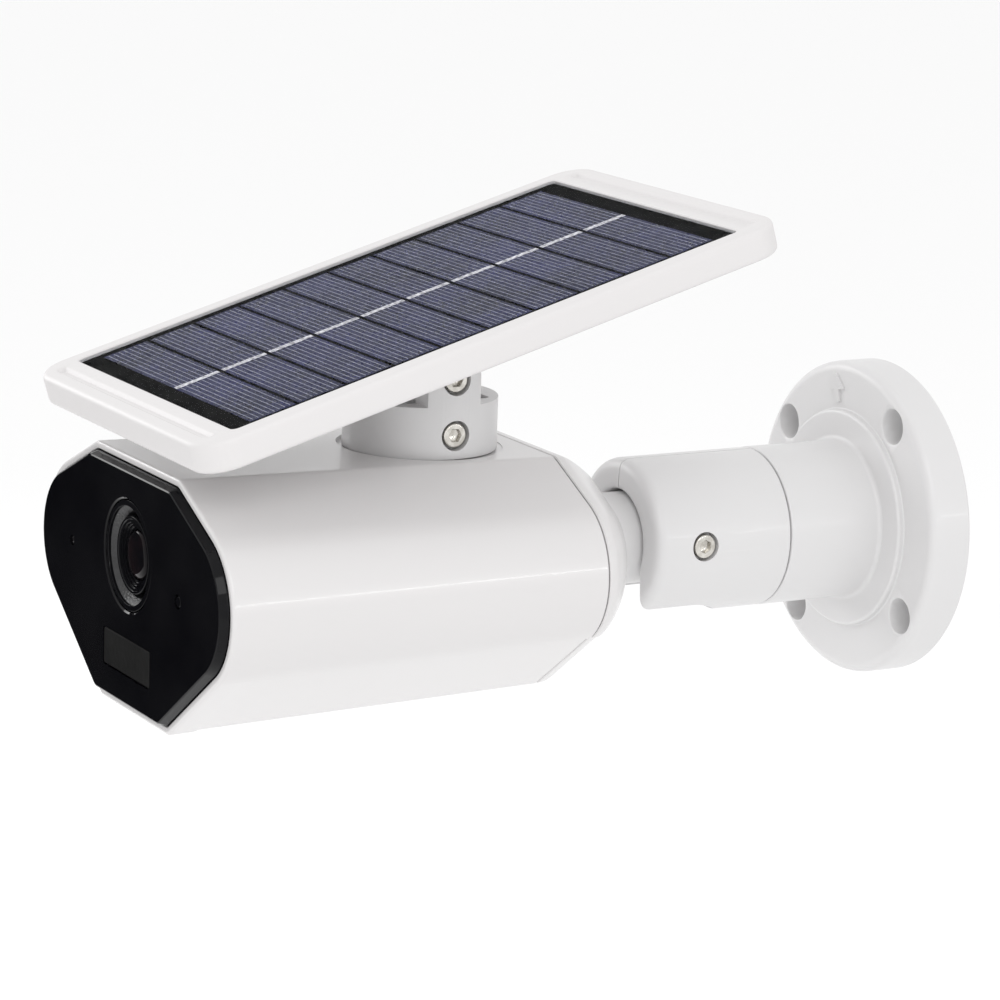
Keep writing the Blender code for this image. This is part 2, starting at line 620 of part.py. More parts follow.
def ports(camera, reset, switch, hatch):
    low, high = PORT_PLATE_UP, PORT_PLATE_UP + PORT_PLATE_THICK
    plate = block((-14.5, low, HATCH_OUT[0] - 2.5), (14.5, high, HATCH_OUT[1] + 2.5))
    plate = piece("port_plate", plate, "black_plastic", camera)
    usb = (USB_AT[0] - 3.8, USB_AT[0] + 3.8, USB_AT[1] - 1.5, USB_AT[1] + 1.5)
    card = (CARD_AT[0] - 6.4, CARD_AT[0] + 6.4, CARD_AT[1] - 1.1, CARD_AT[1] + 1.1)
    for name, (left, right, near, far), slot in (("usb_socket", usb, "tin"),
                                                 ("card_slot", card, "tin")):
        change(plate, block((left, low - 1, near), (right, high + 1, far)))
        body = block((left - 1, high + GAP, near - 1), (right + 1, high + 4.2, far + 1))
        body = piece(name, body, slot, camera)
        change(body, block((left + 0.2, high - 1, near + 0.4), (right - 0.2, high + 3.4, far - 0.4)))
    change(plate, rod(RESET_RADIUS + 0.3, low - 1, high + 1, (RESET_AT[1], RESET_AT[0]), "y", 16))
    x0, x1 = SWITCH_AT[0] - 1.2, SWITCH_AT[0] + 1.2
    travel = SWITCH_TRAVEL
    channel = (x0 - 0.4, x1 + travel + 0.4, SWITCH_AT[1] - 1.3, SWITCH_AT[1] + 1.3)
    change(plate, block((channel[0], low - 1, channel[2]), (channel[1], high + 1, channel[3])))
    body = block((channel[0] - 1.5, high + GAP, channel[2] - 1.4),
                 (channel[1] + 1.5, high + 3.8, channel[3] + 1.4))
    body = piece("power_switch_body", body, "black_plastic", camera)
    change(body, block((channel[0], high - 1, channel[2]), (channel[1], high + 2.4, channel[3])))
    knob = block((-1.2, low - 0.8, -1.0), (1.2, high + 2.1, 1.0))
    piece("power_switch_knob", knob, "silicone", switch)
    button = [(0, low - 0.9), (RESET_RADIUS - 0.2, low - 0.9), (RESET_RADIUS, low - 0.7),
              (RESET_RADIUS, high + 0.2), (RESET_RADIUS + 0.8, high + 0.2),
              (RESET_RADIUS + 0.8, high + 0.7), (0, high + 0.7)]
    piece("reset_button", turned(button, 16, axis="y"), "silicone", reset)
    switch_low = high + 0.7 + RESET_TRAVEL + 0.2
    body = block((RESET_AT[0] - 2.4, switch_low, RESET_AT[1] - 2.4),
                 (RESET_AT[0] + 2.4, switch_low + 2.0, RESET_AT[1] + 2.4))
    piece("reset_switch", body, "black_plastic", camera)
    near, far = HATCH_OUT[0] + GAP, HATCH_OUT[1] - GAP
    up = keel_at(HATCH_OUT[0]) + HINGE_RAISE
    out = HATCH_OUT[0] + HINGE_IN
    flap = [(keel_at(near) - up, near - out), (keel_at(far) - up, far - out),
            (keel_at(far) + HATCH_THICK - up, far - out),
            (keel_at(near) + HATCH_THICK - up, near - out)]
    half = HATCH_HALF - GAP
    piece("service_hatch", prism_x(flap, -half, half), "silicone", hatch)


# ---- turntable and solar panel ---------------------------------------------------------------

def turntable(camera, turn):
    low, high = HUB_GROOVE
    hub = [(3.0, 20.4), (11.0, 20.4), (11.0, HUB_FLANGE), (TURN_PIN, HUB_FLANGE), (TURN_PIN, low),
           (HUB_GROOVE_RADIUS, low), (HUB_GROOVE_RADIUS, high), (TURN_PIN, high),
           (TURN_PIN, HUB_TOP), (3.0, HUB_TOP)]
    hub = turned(hub, 32, (TURN_OUT, 0), "y", closed=True)
    piece("turntable_hub", hub, "white_shell", camera)
    bore = TURN_PIN + GAP
    profile = [(0, HUB_TOP + GAP), (bore, HUB_TOP + GAP), (bore, TURN_BASE), (11.2, TURN_BASE),
               (11.2, TURN_BASE + 1.4), (13.6, TURN_BASE + 1.4), (13.6, TURN_BASE),
               (17.0, TURN_BASE), (TURN_RADIUS, TURN_BASE + 0.3),
               (TURN_RADIUS, TILT_UP + EAR_HALF + 1), (0, TILT_UP + EAR_HALF + 1)]
    body = piece("turntable", turned(profile, 48), "white_arm", turn)
    ear = arch(EAR_HALF, (0, TILT_UP), TURN_RIM)
    above = [(-30, TURN_RIM)] + ear[::-1] + [(30, TURN_RIM), (30, 70), (-30, 70)]
    change(body, prism_x(above, -30, 30))
    change(body, block((-EAR_INSIDE, -POCKET_HALF, POCKET_FLOOR), (EAR_INSIDE, POCKET_HALF, 70)))
    change(body, rod(3.0, HUB_TOP - 1, POCKET_FLOOR + 1))
    change(body, rod(SHANK_HOLE, -30, 30, (0, TILT_UP), "x"))
    change(body, rod(HEAD_SINK, TURN_RADIUS - 3.2, 30, (0, TILT_UP), "x"))
    change(body, rod(NUT_RADIUS + GAP, -30, -TURN_RADIUS + 3.0, (0, TILT_UP), "x", steps=6))
    change(body, rod(SHANK_HOLE, 5, 30, (0, LOCK_UP), "x"))
    change(body, rod(HEAD_SINK, TURN_RADIUS - 3.2, 30, (0, LOCK_UP), "x"))
    seat = TURN_RADIUS - 3.2 + 0.1
    socket_screw("pivot_screw", turn, seat, -TURN_RADIUS + 0.8, 0, TILT_UP)
    hex_nut("pivot_nut", turn, -TURN_RADIUS + 0.5, -TURN_RADIUS + 2.8, 0, TILT_UP)
    socket_screw("lock_screw", turn, seat, 7.6, 0, LOCK_UP)
    ring = [(12.4 + 0.6 * math.cos(2 * math.pi * step / 8),
             TURN_BASE + 0.7 + 0.6 * math.sin(2 * math.pi * step / 8)) for step in range(8)]
    piece("turntable_seal", turned(ring, 32, closed=True), "rubber", turn)


def solar_panel(panel):
    wide, long = PANEL_HALF
    levels = [((wide - 0.8, long - 0.8), PANEL_CORNER - 0.8, FRAME_LOW),
              (PANEL_HALF, PANEL_CORNER, FRAME_LOW + 0.8),
              (PANEL_HALF, PANEL_CORNER, RIM_TOP - 1.4),
              ((wide - 0.4, long - 0.4), PANEL_CORNER - 0.4, RIM_TOP - 0.4),
              ((wide - 1.3, long - 1.3), PANEL_CORNER - 1.3, RIM_TOP),
              (grown(GLASS_HALF, GAP), 1.5, RIM_TOP),
              (grown(GLASS_HALF, GAP), 1.5, GLASS_TOP - 2.6),
              (grown(GLASS_HALF, -3), 1.5, GLASS_TOP - 2.6),
              (grown(GLASS_HALF, -3), 1.5, FRAME_LOW + 2.1),
              (grown(PANEL_HALF, -2.5), PANEL_CORNER - 2.5, FRAME_LOW + 2.1),
              (grown(PANEL_HALF, -2.5), PANEL_CORNER - 2.5, FRAME_LOW)]
    rings = [rounded(half, corner, level) for half, corner, level in levels]
    frame_piece = piece("panel_frame", skin(rings, closed=True), "white_shell", panel)
    for side in (-1, 1):
        change(frame_piece, block((-39, side * GROOVE_AT - 0.6, RIM_TOP - 0.7),
                                  (39, side * GROOVE_AT + 0.6, RIM_TOP + 2)))
    back_half = grown(PANEL_HALF, -2.5 - GAP)
    corner = PANEL_CORNER - 2.8
    rings = [rounded(back_half, corner, level) for level in (FRAME_LOW - 0.4, FRAME_LOW + 1.8)]
    back = piece("panel_back", skin(rings), "white_shell", panel)
    lug = arch(LUG_RADIUS, (0, 0), FRAME_LOW + 1)
    change(back, prism_x(lug, -EAR_INSIDE + 0.4, EAR_INSIDE - 0.4), "UNION")
    change(back, rod(SHANK_HOLE, -30, 30, axis="x"))
    low = GLASS_TOP - 2.3
    for name, base, top, slot in (("solar_board", low, low + 1.2, "solar_cell"),
                                  ("solar_glass", low + 1.5, GLASS_TOP, "clear_glass")):
        sheet = [rounded(GLASS_HALF, 1.2, level) for level in (base, top)]
        piece(name, skin(sheet), slot, panel)
    diode = block((-8, -24, FRAME_LOW + 2.1), (8, -12, FRAME_LOW + 3.5))
    piece("panel_diode_board", diode, "circuit_board", panel)


def build():
    clear_scene()
    out_frame = (90, 0, 0)
    wall = frame("wall_frame", (0, 0, 0), out_frame)
    arm = frame("arm_frame", (0, 0, 0), out_frame)
    knuckle = frame("knuckle_frame", (0, 0, 0), out_frame)
    camera = frame("camera_frame", (0, 0, 0), out_frame)
    reset = frame("reset_frame", (RESET_AT[0], -RESET_AT[1], 0), out_frame)
    switch = frame("switch_frame", (SWITCH_AT[0], -SWITCH_AT[1], 0), out_frame)
    hinge = (0, -HATCH_OUT[0] - HINGE_IN, keel_at(HATCH_OUT[0]) + HINGE_RAISE)
    hatch = frame("hatch_frame", hinge, out_frame)
    turn = frame("turntable_frame", (0, -TURN_OUT, 0))
    panel = frame("panel_frame_axis", (0, -TURN_OUT, TILT_UP), (PANEL_TILT, 0, 0))
    bracket(wall, arm, knuckle)
    rear_cap(camera)
    housing(camera)
    front_plate(camera)
    front_chassis(camera)
    lens_group(camera)
    front_sensors(camera)
    power_and_boards(camera)
    ports(camera, reset, switch, hatch)
    turntable(camera, turn)
    solar_panel(panel)
    bpy.context.view_layer.update()


build()
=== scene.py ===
"""Looks of the solar-powered security camera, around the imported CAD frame.

Sizes are in millimetres. Pieces on the bracket and the camera are drawn in the "out" frame: x to
the right, y up, z out from the wall. The turntable is drawn about its own upright axis, and the
solar panel in a frame on its tilt axis with z square to the glass.
"""
import json
import math

import bmesh
import bpy
from mathutils import Matrix, Vector


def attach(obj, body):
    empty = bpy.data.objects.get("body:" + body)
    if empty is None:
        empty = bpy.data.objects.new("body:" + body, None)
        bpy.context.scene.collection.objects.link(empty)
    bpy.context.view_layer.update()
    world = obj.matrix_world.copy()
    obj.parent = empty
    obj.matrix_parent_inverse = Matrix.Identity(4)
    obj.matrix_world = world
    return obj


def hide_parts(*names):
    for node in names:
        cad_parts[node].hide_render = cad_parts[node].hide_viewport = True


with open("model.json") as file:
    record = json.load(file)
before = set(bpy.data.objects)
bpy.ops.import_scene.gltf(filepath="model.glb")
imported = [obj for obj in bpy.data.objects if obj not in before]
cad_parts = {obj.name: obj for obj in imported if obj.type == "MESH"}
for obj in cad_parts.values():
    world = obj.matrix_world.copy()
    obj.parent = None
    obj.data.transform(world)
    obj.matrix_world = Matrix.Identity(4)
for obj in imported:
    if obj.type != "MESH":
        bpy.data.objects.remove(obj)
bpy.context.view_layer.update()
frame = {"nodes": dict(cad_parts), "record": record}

MM = 0.001
GAP = 0.3                      # clearance between pieces that meet

# Wall flange, arm and stem
FLANGE_RADIUS = 37.1
FLANGE_THICK = 10.8
BOSS_RADIUS = 25.7
BOSS_TOP = 12.5
NECK_RADIUS = 18.6
NECK_END = 37.0
SPIGOT_RADIUS = 11.0
COLLAR_RADIUS = 14.0
COLLAR_START = 40.4
COLLAR_END = 43.4
WALL_HOLE_CIRCLE = 31.3
WALL_HOLE_TURN = 54.0
WALL_HOLE_RADIUS = 3.0
WALL_SINK_RADIUS = 4.1         # wider part of the hole, for the screw's head
ARROW = ((-0.9, 27.4), (0.9, 27.4), (0.9, 30.4), (2.8, 30.4), (0.0, 34.2), (-2.8, 30.4),
         (-0.9, 30.4))
ARROW_TURN = WALL_HOLE_TURN + 45 - 90
ARROW_ROOT = 0.3
ARROW_LIFT = 0.5
ARM_RADIUS = 18.5
ARM_END = 73.2
PIVOT_OUT = 60.3
PIVOT_UP = 0.8
KNUCKLE_RADIUS = 13.2
STEM_RADIUS = 10.7
MOUTH_RADIUS = 11.4
MOUTH_DEEP = 3.0               # floor of the arm's mouth, out from the pivot
SLOT_HALF = 11.3
SLOT_BACK = 0.5
SHELL_PARTING = 0.12           # half the gap between the two arm shells
PIN_RADIUS = 8.0
PIN_END = 91.0

# Camera body
TOP_HALF = 21.5
TOP_UP = 25.2
SHOULDER = (38.5, 17.3)
FLANK_RADIUS = 16.3
FLANK_STEP = 0.6
LEAST_STEP = 0.02              # step where the flank should read as smooth
TOP_CORNER = 4.0
KEEL_CORNER = 2.4
SLOPE_TURN = 35.5
KEEL_UP = -27.7
SECTION_MID = -1.2
BODY_GROW = 2.0                # outer shell outside the front plate's outline
WALL_THICK = 2.5
BODY_FRONT = 193.5
BODY_REAR = 102.2
REAR_SCALE = 0.935
CAP_BACK = 85.0
CAP_RINGS = ((101.9, 1.0), (99.8, 0.985), (98.0, 0.95), (95.0, 0.87), (92.0, 0.78), (89.0, 0.68),
             (86.5, 0.58), (CAP_BACK, 0.51))
CAP_UP_SHARE = 0.8
CAP_END_SHARE = 0.485
CAP_INSIDE_SHARE = 0.97
CAP_WALL = 2.6
CAP_STEPS = 30
CAP_LIP = 3.0                  # how far the tongue reaches into the housing
CAP_LIP_INSIDE = 1.8
PLATE_BACK = 192.0
PLATE_EDGE = 193.7
PLATE_FRONT = 195.5
PLATE_BEVEL = 0.8
LENS_UP = 6.1
LENS_HOLE = 12.4
LENS_SINK = 1.2                # lens barrel behind the face of the front window
BARREL_RINGS = 4
BARREL_FIRST = 5.6
BARREL_PITCH = 0.55
BARREL_RISE = 0.38
BARREL_DEEP = 1.4
BARREL_TAIL = 6.0
BARREL_BACK = 178.6
DOME_RADIUS = 5.3
DOME_RISE = 1.1
DOME_BACK = 4.6
DOME_STEPS = 12
PIR_HALF = (12.6, 4.3)
PIR_UP = -16.5
LIGHT_SENSOR_AT = (-30.5, 3.0)
STATUS_LED_AT = (26.5, 2.0)
SENSOR_BACK = 186.8
OUTER_RINGS = 14
HATCH_HALF = 12.0
HATCH_OUT = (138.0, 158.0)
HATCH_THICK = 1.8

# Turntable
TURN_OUT = 125.2
TURN_RADIUS = 17.3
TURN_BASE = 25.6
TURN_RIM = 37.3
RECESS_RADIUS = 18.6
RECESS_FLOOR = 25.3
TILT_UP = 43.2
LOCK_UP = 30.9
EAR_HALF = 6.5
EAR_INSIDE = 10.0
POCKET_FLOOR = 35.0
POCKET_HALF = 12.4
TURN_PIN = 8.0
HUB_TOP = 33.6
SEAL_RADIUS = 11.2             # inner and outer radius of the seal's groove, underneath
SEAL_EDGE = 13.6
SEAL_DEEP = 1.4

# Solar panel
PANEL_TILT = 16.6
PANEL_HALF = (45.8, 72.3)
PANEL_CORNER = 8.0
GLASS_HALF = (40.9, 62.5)
GLASS_TOP = 16.6
RIM_TOP = 16.9
FRAME_LOW = 9.9
GROOVE_AT = 67.6
GROOVE_HALF = 38.5
RECESS_DEEP = 2.6              # floor of the recess, below the top of the glass
LEDGE = 3.0
FRAME_WALL = 2.1
BACK_INSET = 2.8
BACK_THICK = 2.2
LUG_RADIUS = 6.0
CELLS = 10
CELL_PITCH = 11.6
CELL_HALF = 38.3
CELL_GAP = 0.8
CELL_SINK = 0.5                # cells below the top of their cover glass
FINGERS = 8
FINGER_PITCH = CELL_PITCH / (FINGERS + 1.2)
FINGER_HALF = 0.09
BUSBAR_AT = 0.4
BUSBAR_HALF = 0.8
BUSBAR_GAP = 1.0
CELL_THICK = 0.1
SILVER_PROUD = 0.02

# Screws
HEAD_RADIUS = 2.75
HEAD_HEIGHT = 2.6
SHANK_RADIUS = 1.45
SOCKET_RADIUS = 1.55
SOCKET_DEPTH = 1.5
HEAD_SINK = 3.4                # radius of the pocket round a head
SHANK_HOLE = 1.8
NUT_RADIUS = 3.0
HEAD_POCKET = 3.2              # depth of the turntable's pockets for a head and for a nut
NUT_POCKET = 3.0

BEYOND = 30.0                  # past the part, for the ends of cutting shapes
ABOVE = 70.0
FINE = 128                     # steps round a large circle
MID = 64
SMALL = 32

# Studio and camera, in metres and degrees
FLOOR_HALF = 9.0
FLOOR_LEVELS = (-0.20, -0.19)
AIM = (0.0, -0.11, 0.01)
LAMPS = (                      # name, place, aim, size, watts
    ("key", (0.95, -0.35, 0.72), AIM, (0.6, 0.5), 2.5),
    ("fill", (0.75, -0.75, 0.12), AIM, (0.5, 0.5), 0.5),
    ("overhead", (0.0, -0.08, 1.2), AIM, (0.5, 0.5), 0.7),
    ("under_panel", (-0.60, -0.42, 0.14), (0.0, -0.14, 0.03), (0.3, 0.3), 1.2),
    ("flank_strip", (0.525, 0.135, 0.07), (0.04, -0.15, 0.0), (0.6, 0.015), 0.28))
CARD_FROM = (0.0, -0.19, 0.0)
CARD_TOWARD = (-0.853, -0.475, -0.215)
CARD_DISTANCE = 0.45
CARD_HALF = 0.24
CARD_THICK = 0.004
CAMERA_AT = (0.77241, -0.53385, 0.20615)
CAMERA_TURN = 60.91            # round from looking along +Y
CAMERA_FALL = 12.43            # looking down
CAMERA_ROLL = 1.88
CAMERA_LENS = 144.2            # millimetres

OUT_FRAME = Matrix.Rotation(math.radians(90), 4, "X")
TURN_FRAME = Matrix.Translation((0, -TURN_OUT, 0))
PANEL_FRAME = (Matrix.Translation((0, -TURN_OUT, TILT_UP))
               @ Matrix.Rotation(math.radians(PANEL_TILT), 4, "X"))


# ---- materials -------------------------------------------------------------------------------

class Surface:
    """A Principled material with short ways to add noise-driven colour, roughness and bump."""

    def __init__(self, name, colour, roughness, metallic=0.0, **more):
        self.made = bpy.data.materials.new("look_" + name)
        self.made.use_nodes = True
        self.nodes = self.made.node_tree.nodes
        self.links = self.made.node_tree.links
        self.shader = self.nodes["Principled BSDF"]
        self.put("Base Color", (*colour, 1.0))
        self.put("Roughness", roughness)
        self.put("Metallic", metallic)
        for key, value in more.items():
            self.put(key.replace("_", " ").title().replace("Ior", "IOR"), value)
        self.where = self.nodes.new("ShaderNodeTexCoord").outputs["Object"]
        self.normal = None

    def put(self, socket, value):
        self.shader.inputs[socket].default_value = value

    def noise(self, scale, detail=3.0, rough=0.5, stretch=None):
        node = self.nodes.new("ShaderNodeTexNoise")
        node.inputs["Scale"].default_value = scale
        node.inputs["Detail"].default_value = detail
        node.inputs["Roughness"].default_value = rough
        self.links.new(self.stretched(stretch), node.inputs["Vector"])
        return node.outputs["Fac"]

    def cells(self, scale):
        node = self.nodes.new("ShaderNodeTexVoronoi")
        node.inputs["Scale"].default_value = scale
        self.links.new(self.where, node.inputs["Vector"])
        return node.outputs["Distance"]

    def stretched(self, stretch):
        if stretch is None:
            return self.where
        node = self.nodes.new("ShaderNodeMapping")
        node.inputs["Scale"].default_value = stretch
        self.links.new(self.where, node.inputs["Vector"])
        return node.outputs["Vector"]

    def spread(self, source, low, high, start=0.35, end=0.65):
        """Map a 0 to 1 source between two values."""
        node = self.nodes.new("ShaderNodeMapRange")
        node.inputs["From Min"].default_value = start
        node.inputs["From Max"].default_value = end
        node.inputs["To Min"].default_value = low
        node.inputs["To Max"].default_value = high
        self.links.new(source, node.inputs["Value"])
        return node.outputs["Result"]

    def vary_roughness(self, source, low, high):
        self.links.new(self.spread(source, low, high), self.shader.inputs["Roughness"])
        return self

    def vary_colour(self, source, first, second, start=0.35, end=0.65):
        node = self.nodes.new("ShaderNodeMix")
        node.data_type = "RGBA"
        for socket in node.inputs:
            if socket.name == "A" and socket.type == "RGBA":
                socket.default_value = (*first, 1.0)
            if socket.name == "B" and socket.type == "RGBA":
                socket.default_value = (*second, 1.0)
        self.links.new(self.spread(source, 0.0, 1.0, start, end), node.inputs["Factor"])
        colour = [out for out in node.outputs if out.type == "RGBA"][0]
        self.links.new(colour, self.shader.inputs["Base Color"])
        return self

    def bump(self, source, strength, distance):
        node = self.nodes.new("ShaderNodeBump")
        node.inputs["Strength"].default_value = strength
        node.inputs["Distance"].default_value = distance
        self.links.new(source, node.inputs["Height"])
        if self.normal is not None:
            self.links.new(self.normal, node.inputs["Normal"])
        self.normal = node.outputs["Normal"]
        self.links.new(self.normal, self.shader.inputs["Normal"])
        return self


def white_plastic(name, colour, roughness, coat):
    """Moulded white plastic: a faint drift of tone and a fine moulded grain."""
    drift = 0.988
    made = Surface(name, colour, roughness, Coat_Weight=coat, Coat_Roughness=0.06, IOR=1.5)
    shade = tuple(value * drift for value in colour)
    made.vary_colour(made.noise(9.0, 1.0), shade, colour, 0.2, 0.8)
    made.bump(made.noise(1400.0, 2.0), 0.05, 0.00001)
    return made.made


def make_materials():
    """All the looks by slot name. Some indexes and specular levels are low to keep glints faint."""
    looks = {}
    looks["white_shell"] = white_plastic("white_shell", (0.660, 0.647, 0.647), 0.28, 0.30)
    looks["white_arm"] = white_plastic("white_arm", (0.655, 0.649, 0.651), 0.39, 0.12)
    looks["white_rim"] = white_plastic("white_rim", (0.680, 0.665, 0.665), 0.46, 0.0)

    plate = Surface("black_acrylic", (0.004, 0.004, 0.005), 0.05, IOR=1.25)
    plate.vary_roughness(plate.noise(70.0, 6.0, 0.7), 0.035, 0.10)
    plate.vary_colour(plate.noise(40.0), (0.003, 0.003, 0.004), (0.006, 0.006, 0.007))
    looks["black_acrylic"] = plate.made

    black = Surface("black_plastic", (0.018, 0.018, 0.02), 0.42)
    black.vary_colour(black.noise(90.0), (0.013, 0.013, 0.015), (0.024, 0.024, 0.026))
    black.vary_roughness(black.noise(400.0), 0.34, 0.5)
    black.bump(black.cells(2600.0), 0.16, 0.00006)
    looks["black_plastic"] = black.made

    hood = Surface("hood_black", (0.014, 0.014, 0.015), 0.32, IOR=1.55)
    hood.vary_colour(hood.noise(500.0), (0.009, 0.009, 0.010), (0.020, 0.020, 0.022))
    hood.bump(hood.cells(1900.0), 0.6, 0.0002)
    looks["hood_black"] = hood.made

    film = Surface("pir_film", (0.010, 0.010, 0.010), 0.5, Specular_IOR_Level=0.03)
    film.vary_colour(film.noise(120.0), (0.008, 0.008, 0.008), (0.012, 0.012, 0.012))
    film.bump(film.cells(700.0), 0.25, 0.0001)
    looks["pir_film"] = film.made

    lens = Surface("lens_glass", (0.006, 0.005, 0.006), 0.02, IOR=1.22)
    lens.vary_colour(lens.noise(160.0), (0.004, 0.004, 0.005), (0.009, 0.006, 0.007))
    looks["lens_glass"] = lens.made

    steel = Surface("steel", (0.60, 0.58, 0.54), 0.24, 1.0, Anisotropic=0.4)
    steel.vary_colour(steel.noise(700.0), (0.50, 0.48, 0.44), (0.68, 0.66, 0.62))
    steel.vary_roughness(steel.noise(1500.0, 4.0, 0.6, (1.0, 9.0, 9.0)), 0.16, 0.34)
    steel.bump(steel.noise(2200.0, 2.0, 0.5, (1.0, 12.0, 12.0)), 0.12, 0.00004)
    looks["steel"] = steel.made

    rubber = Surface("rubber", (0.022, 0.022, 0.022), 0.75)
    rubber.vary_colour(rubber.noise(200.0), (0.016, 0.016, 0.016), (0.032, 0.031, 0.030))
    rubber.bump(rubber.cells(1800.0), 0.3, 0.0001)
    looks["rubber"] = rubber.made

    soft = Surface("silicone", (0.74, 0.74, 0.735), 0.55, Subsurface_Weight=0.05)
    soft.vary_colour(soft.noise(60.0), (0.71, 0.71, 0.70), (0.77, 0.77, 0.765))
    soft.bump(soft.cells(1500.0), 0.14, 0.00006)
    looks["silicone"] = soft.made

    board = Surface("circuit_board", (0.015, 0.10, 0.045), 0.38, Coat_Weight=0.3)
    board.vary_colour(board.cells(900.0), (0.010, 0.075, 0.032), (0.022, 0.13, 0.06), 0.2, 0.6)
    board.bump(board.cells(900.0), 0.2, 0.00005)
    looks["circuit_board"] = board.made

    backing = Surface("solar_backing", (0.019, 0.019, 0.019), 0.5, Specular_IOR_Level=0.0)
    backing.vary_colour(backing.noise(300.0), (0.017, 0.017, 0.017), (0.021, 0.021, 0.020))
    looks["solar_backing"] = backing.made

    silicon = Surface("solar_cell", (0.018, 0.020, 0.062), 0.4, Specular_IOR_Level=0.05)
    silicon.vary_colour(silicon.noise(55.0, 5.0, 0.6), (0.012, 0.013, 0.034), (0.023, 0.025, 0.078))
    silicon.vary_roughness(silicon.noise(500.0), 0.2, 0.4)
    silicon.bump(silicon.cells(4000.0), 0.1, 0.00003)
    looks["solar_cell"] = silicon.made

    silver = Surface("solar_silver", (0.32, 0.33, 0.40), 0.5, Specular_IOR_Level=0.1)
    silver.vary_colour(silver.noise(800.0), (0.25, 0.26, 0.32), (0.40, 0.40, 0.47))
    looks["solar_silver"] = silver.made

    ribbon = Surface("solar_ribbon", (0.70, 0.69, 0.70), 0.4, Specular_IOR_Level=0.2)
    ribbon.vary_colour(ribbon.noise(1100.0, 2.0), (0.28, 0.27, 0.29), (0.85, 0.83, 0.85))
    ribbon.bump(ribbon.noise(1200.0), 0.3, 0.0001)
    looks["solar_ribbon"] = ribbon.made

    glass = Surface("clear_glass", (0.97, 0.98, 1.0), 0.015, IOR=1.006, Transmission_Weight=1.0)
    glass.vary_roughness(glass.noise(30.0, 5.0), 0.01, 0.035)
    looks["clear_glass"] = glass.made

    wrap = Surface("battery_wrap", (0.04, 0.17, 0.42), 0.35, Coat_Weight=0.4)
    wrap.vary_colour(wrap.noise(80.0), (0.03, 0.14, 0.36), (0.05, 0.20, 0.48))
    looks["battery_wrap"] = wrap.made

    tin = Surface("tin", (0.66, 0.66, 0.64), 0.33, 1.0)
    tin.vary_colour(tin.noise(300.0), (0.58, 0.58, 0.56), (0.72, 0.72, 0.70))
    tin.vary_roughness(tin.noise(900.0), 0.26, 0.42)
    looks["tin"] = tin.made
    return looks


LOOKS = make_materials()


# ---- mesh tools ------------------------------------------------------------------------------

def skin(rings, closed=False, material=0):
    """Join rings of points into one solid, capped at its ends or closed into a loop."""
    bm = bmesh.new()
    rows = [[bm.verts.new(point) for point in ring] for ring in rings]
    pairs = list(zip(rows, rows[1:]))
    if closed:
        pairs.append((rows[-1], rows[0]))
    for low, high in pairs:
        count = max(len(low), len(high))
        for step in range(count):
            after = (step + 1) % count
            if len(low) == 1:
                bm.faces.new((low[0], high[after], high[step]))
            elif len(high) == 1:
                bm.faces.new((low[step], low[after], high[0]))
            else:
                bm.faces.new((low[step], low[after], high[after], high[step]))
    if not closed:
        for row in (rows[0], rows[-1]):
            if len(row) > 2:
                bm.faces.new(row)
    for face in bm.faces:
        face.material_index = material
    bmesh.ops.recalc_face_normals(bm, faces=bm.faces)
    return bm


def lathe(profile, steps=FINE, centre=(0.0, 0.0), axis="z", closed=False, material=0):
    """Turn a profile of (radius, height) pairs about an axis; radius 0 makes a pole."""
    rings = []
    for radius, height in profile:
        pole = radius < 1e-6
        angles = [0.0] if pole else [2 * math.pi * step / steps for step in range(steps)]
        ring = []
        for angle in angles:
            a = centre[0] + radius * math.cos(angle)
            b = centre[1] + radius * math.sin(angle)
            ring.append({"z": (a, b, height), "x": (height, a, b), "y": (b, height, a)}[axis])
        rings.append(ring)
    return skin(rings, closed, material)


def softened(corners, closed=False, steps=5):
    """Round the corners of a 2-D path; each corner is (a, b) or (a, b, radius)."""
    points = []
    count = len(corners)
    for index, corner in enumerate(corners):
        here = Vector(corner[:2])
        radius = corner[2] if len(corner) > 2 else 0.0
        if radius == 0.0 or (not closed and index in (0, count - 1)):
            points.append(tuple(here))
            continue
        before = Vector(corners[index - 1][:2]) - here
        after = Vector(corners[(index + 1) % count][:2]) - here
        half = before.angle(after) / 2
        reach = min(radius / math.tan(half), before.length * 0.49, after.length * 0.49)
        start = here + before.normalized() * reach
        end = here + after.normalized() * reach
        for step in range(steps + 1):
            share = step / steps
            first = start.lerp(here, share)
            second = here.lerp(end, share)
            points.append(tuple(first.lerp(second, share)))
    return points


def rod(radius, low, high, centre=(0.0, 0.0), axis="z", steps=SMALL):
    return lathe([(radius, low), (radius, high)], steps, centre, axis)


def ball(radius, centre, rows=32, steps=MID):
    profile = []
    for row in range(rows + 1):
        angle = math.pi * row / rows
        profile.append((radius * math.sin(angle) if 0 < row < rows else 0.0,
                        centre[2] - radius * math.cos(angle)))
    return lathe(profile, steps, centre[:2])


def prism(outline, low, high, plane="xy", material=0):
    """Extrude an outline along the axis that its plane leaves out."""
    spots = {"xy": lambda a, b, t: (a, b, t), "yz": lambda a, b, t: (t, a, b),
             "xz": lambda a, b, t: (a, t, b)}[plane]
    return skin([[spots(a, b, level) for a, b in outline] for level in (low, high)], False,
                material)


def block(low, high, material=0):
    corners = [(low[0], low[1]), (high[0], low[1]), (high[0], high[1]), (low[0], high[1])]
    return prism(corners, low[2], high[2], "xy", material)


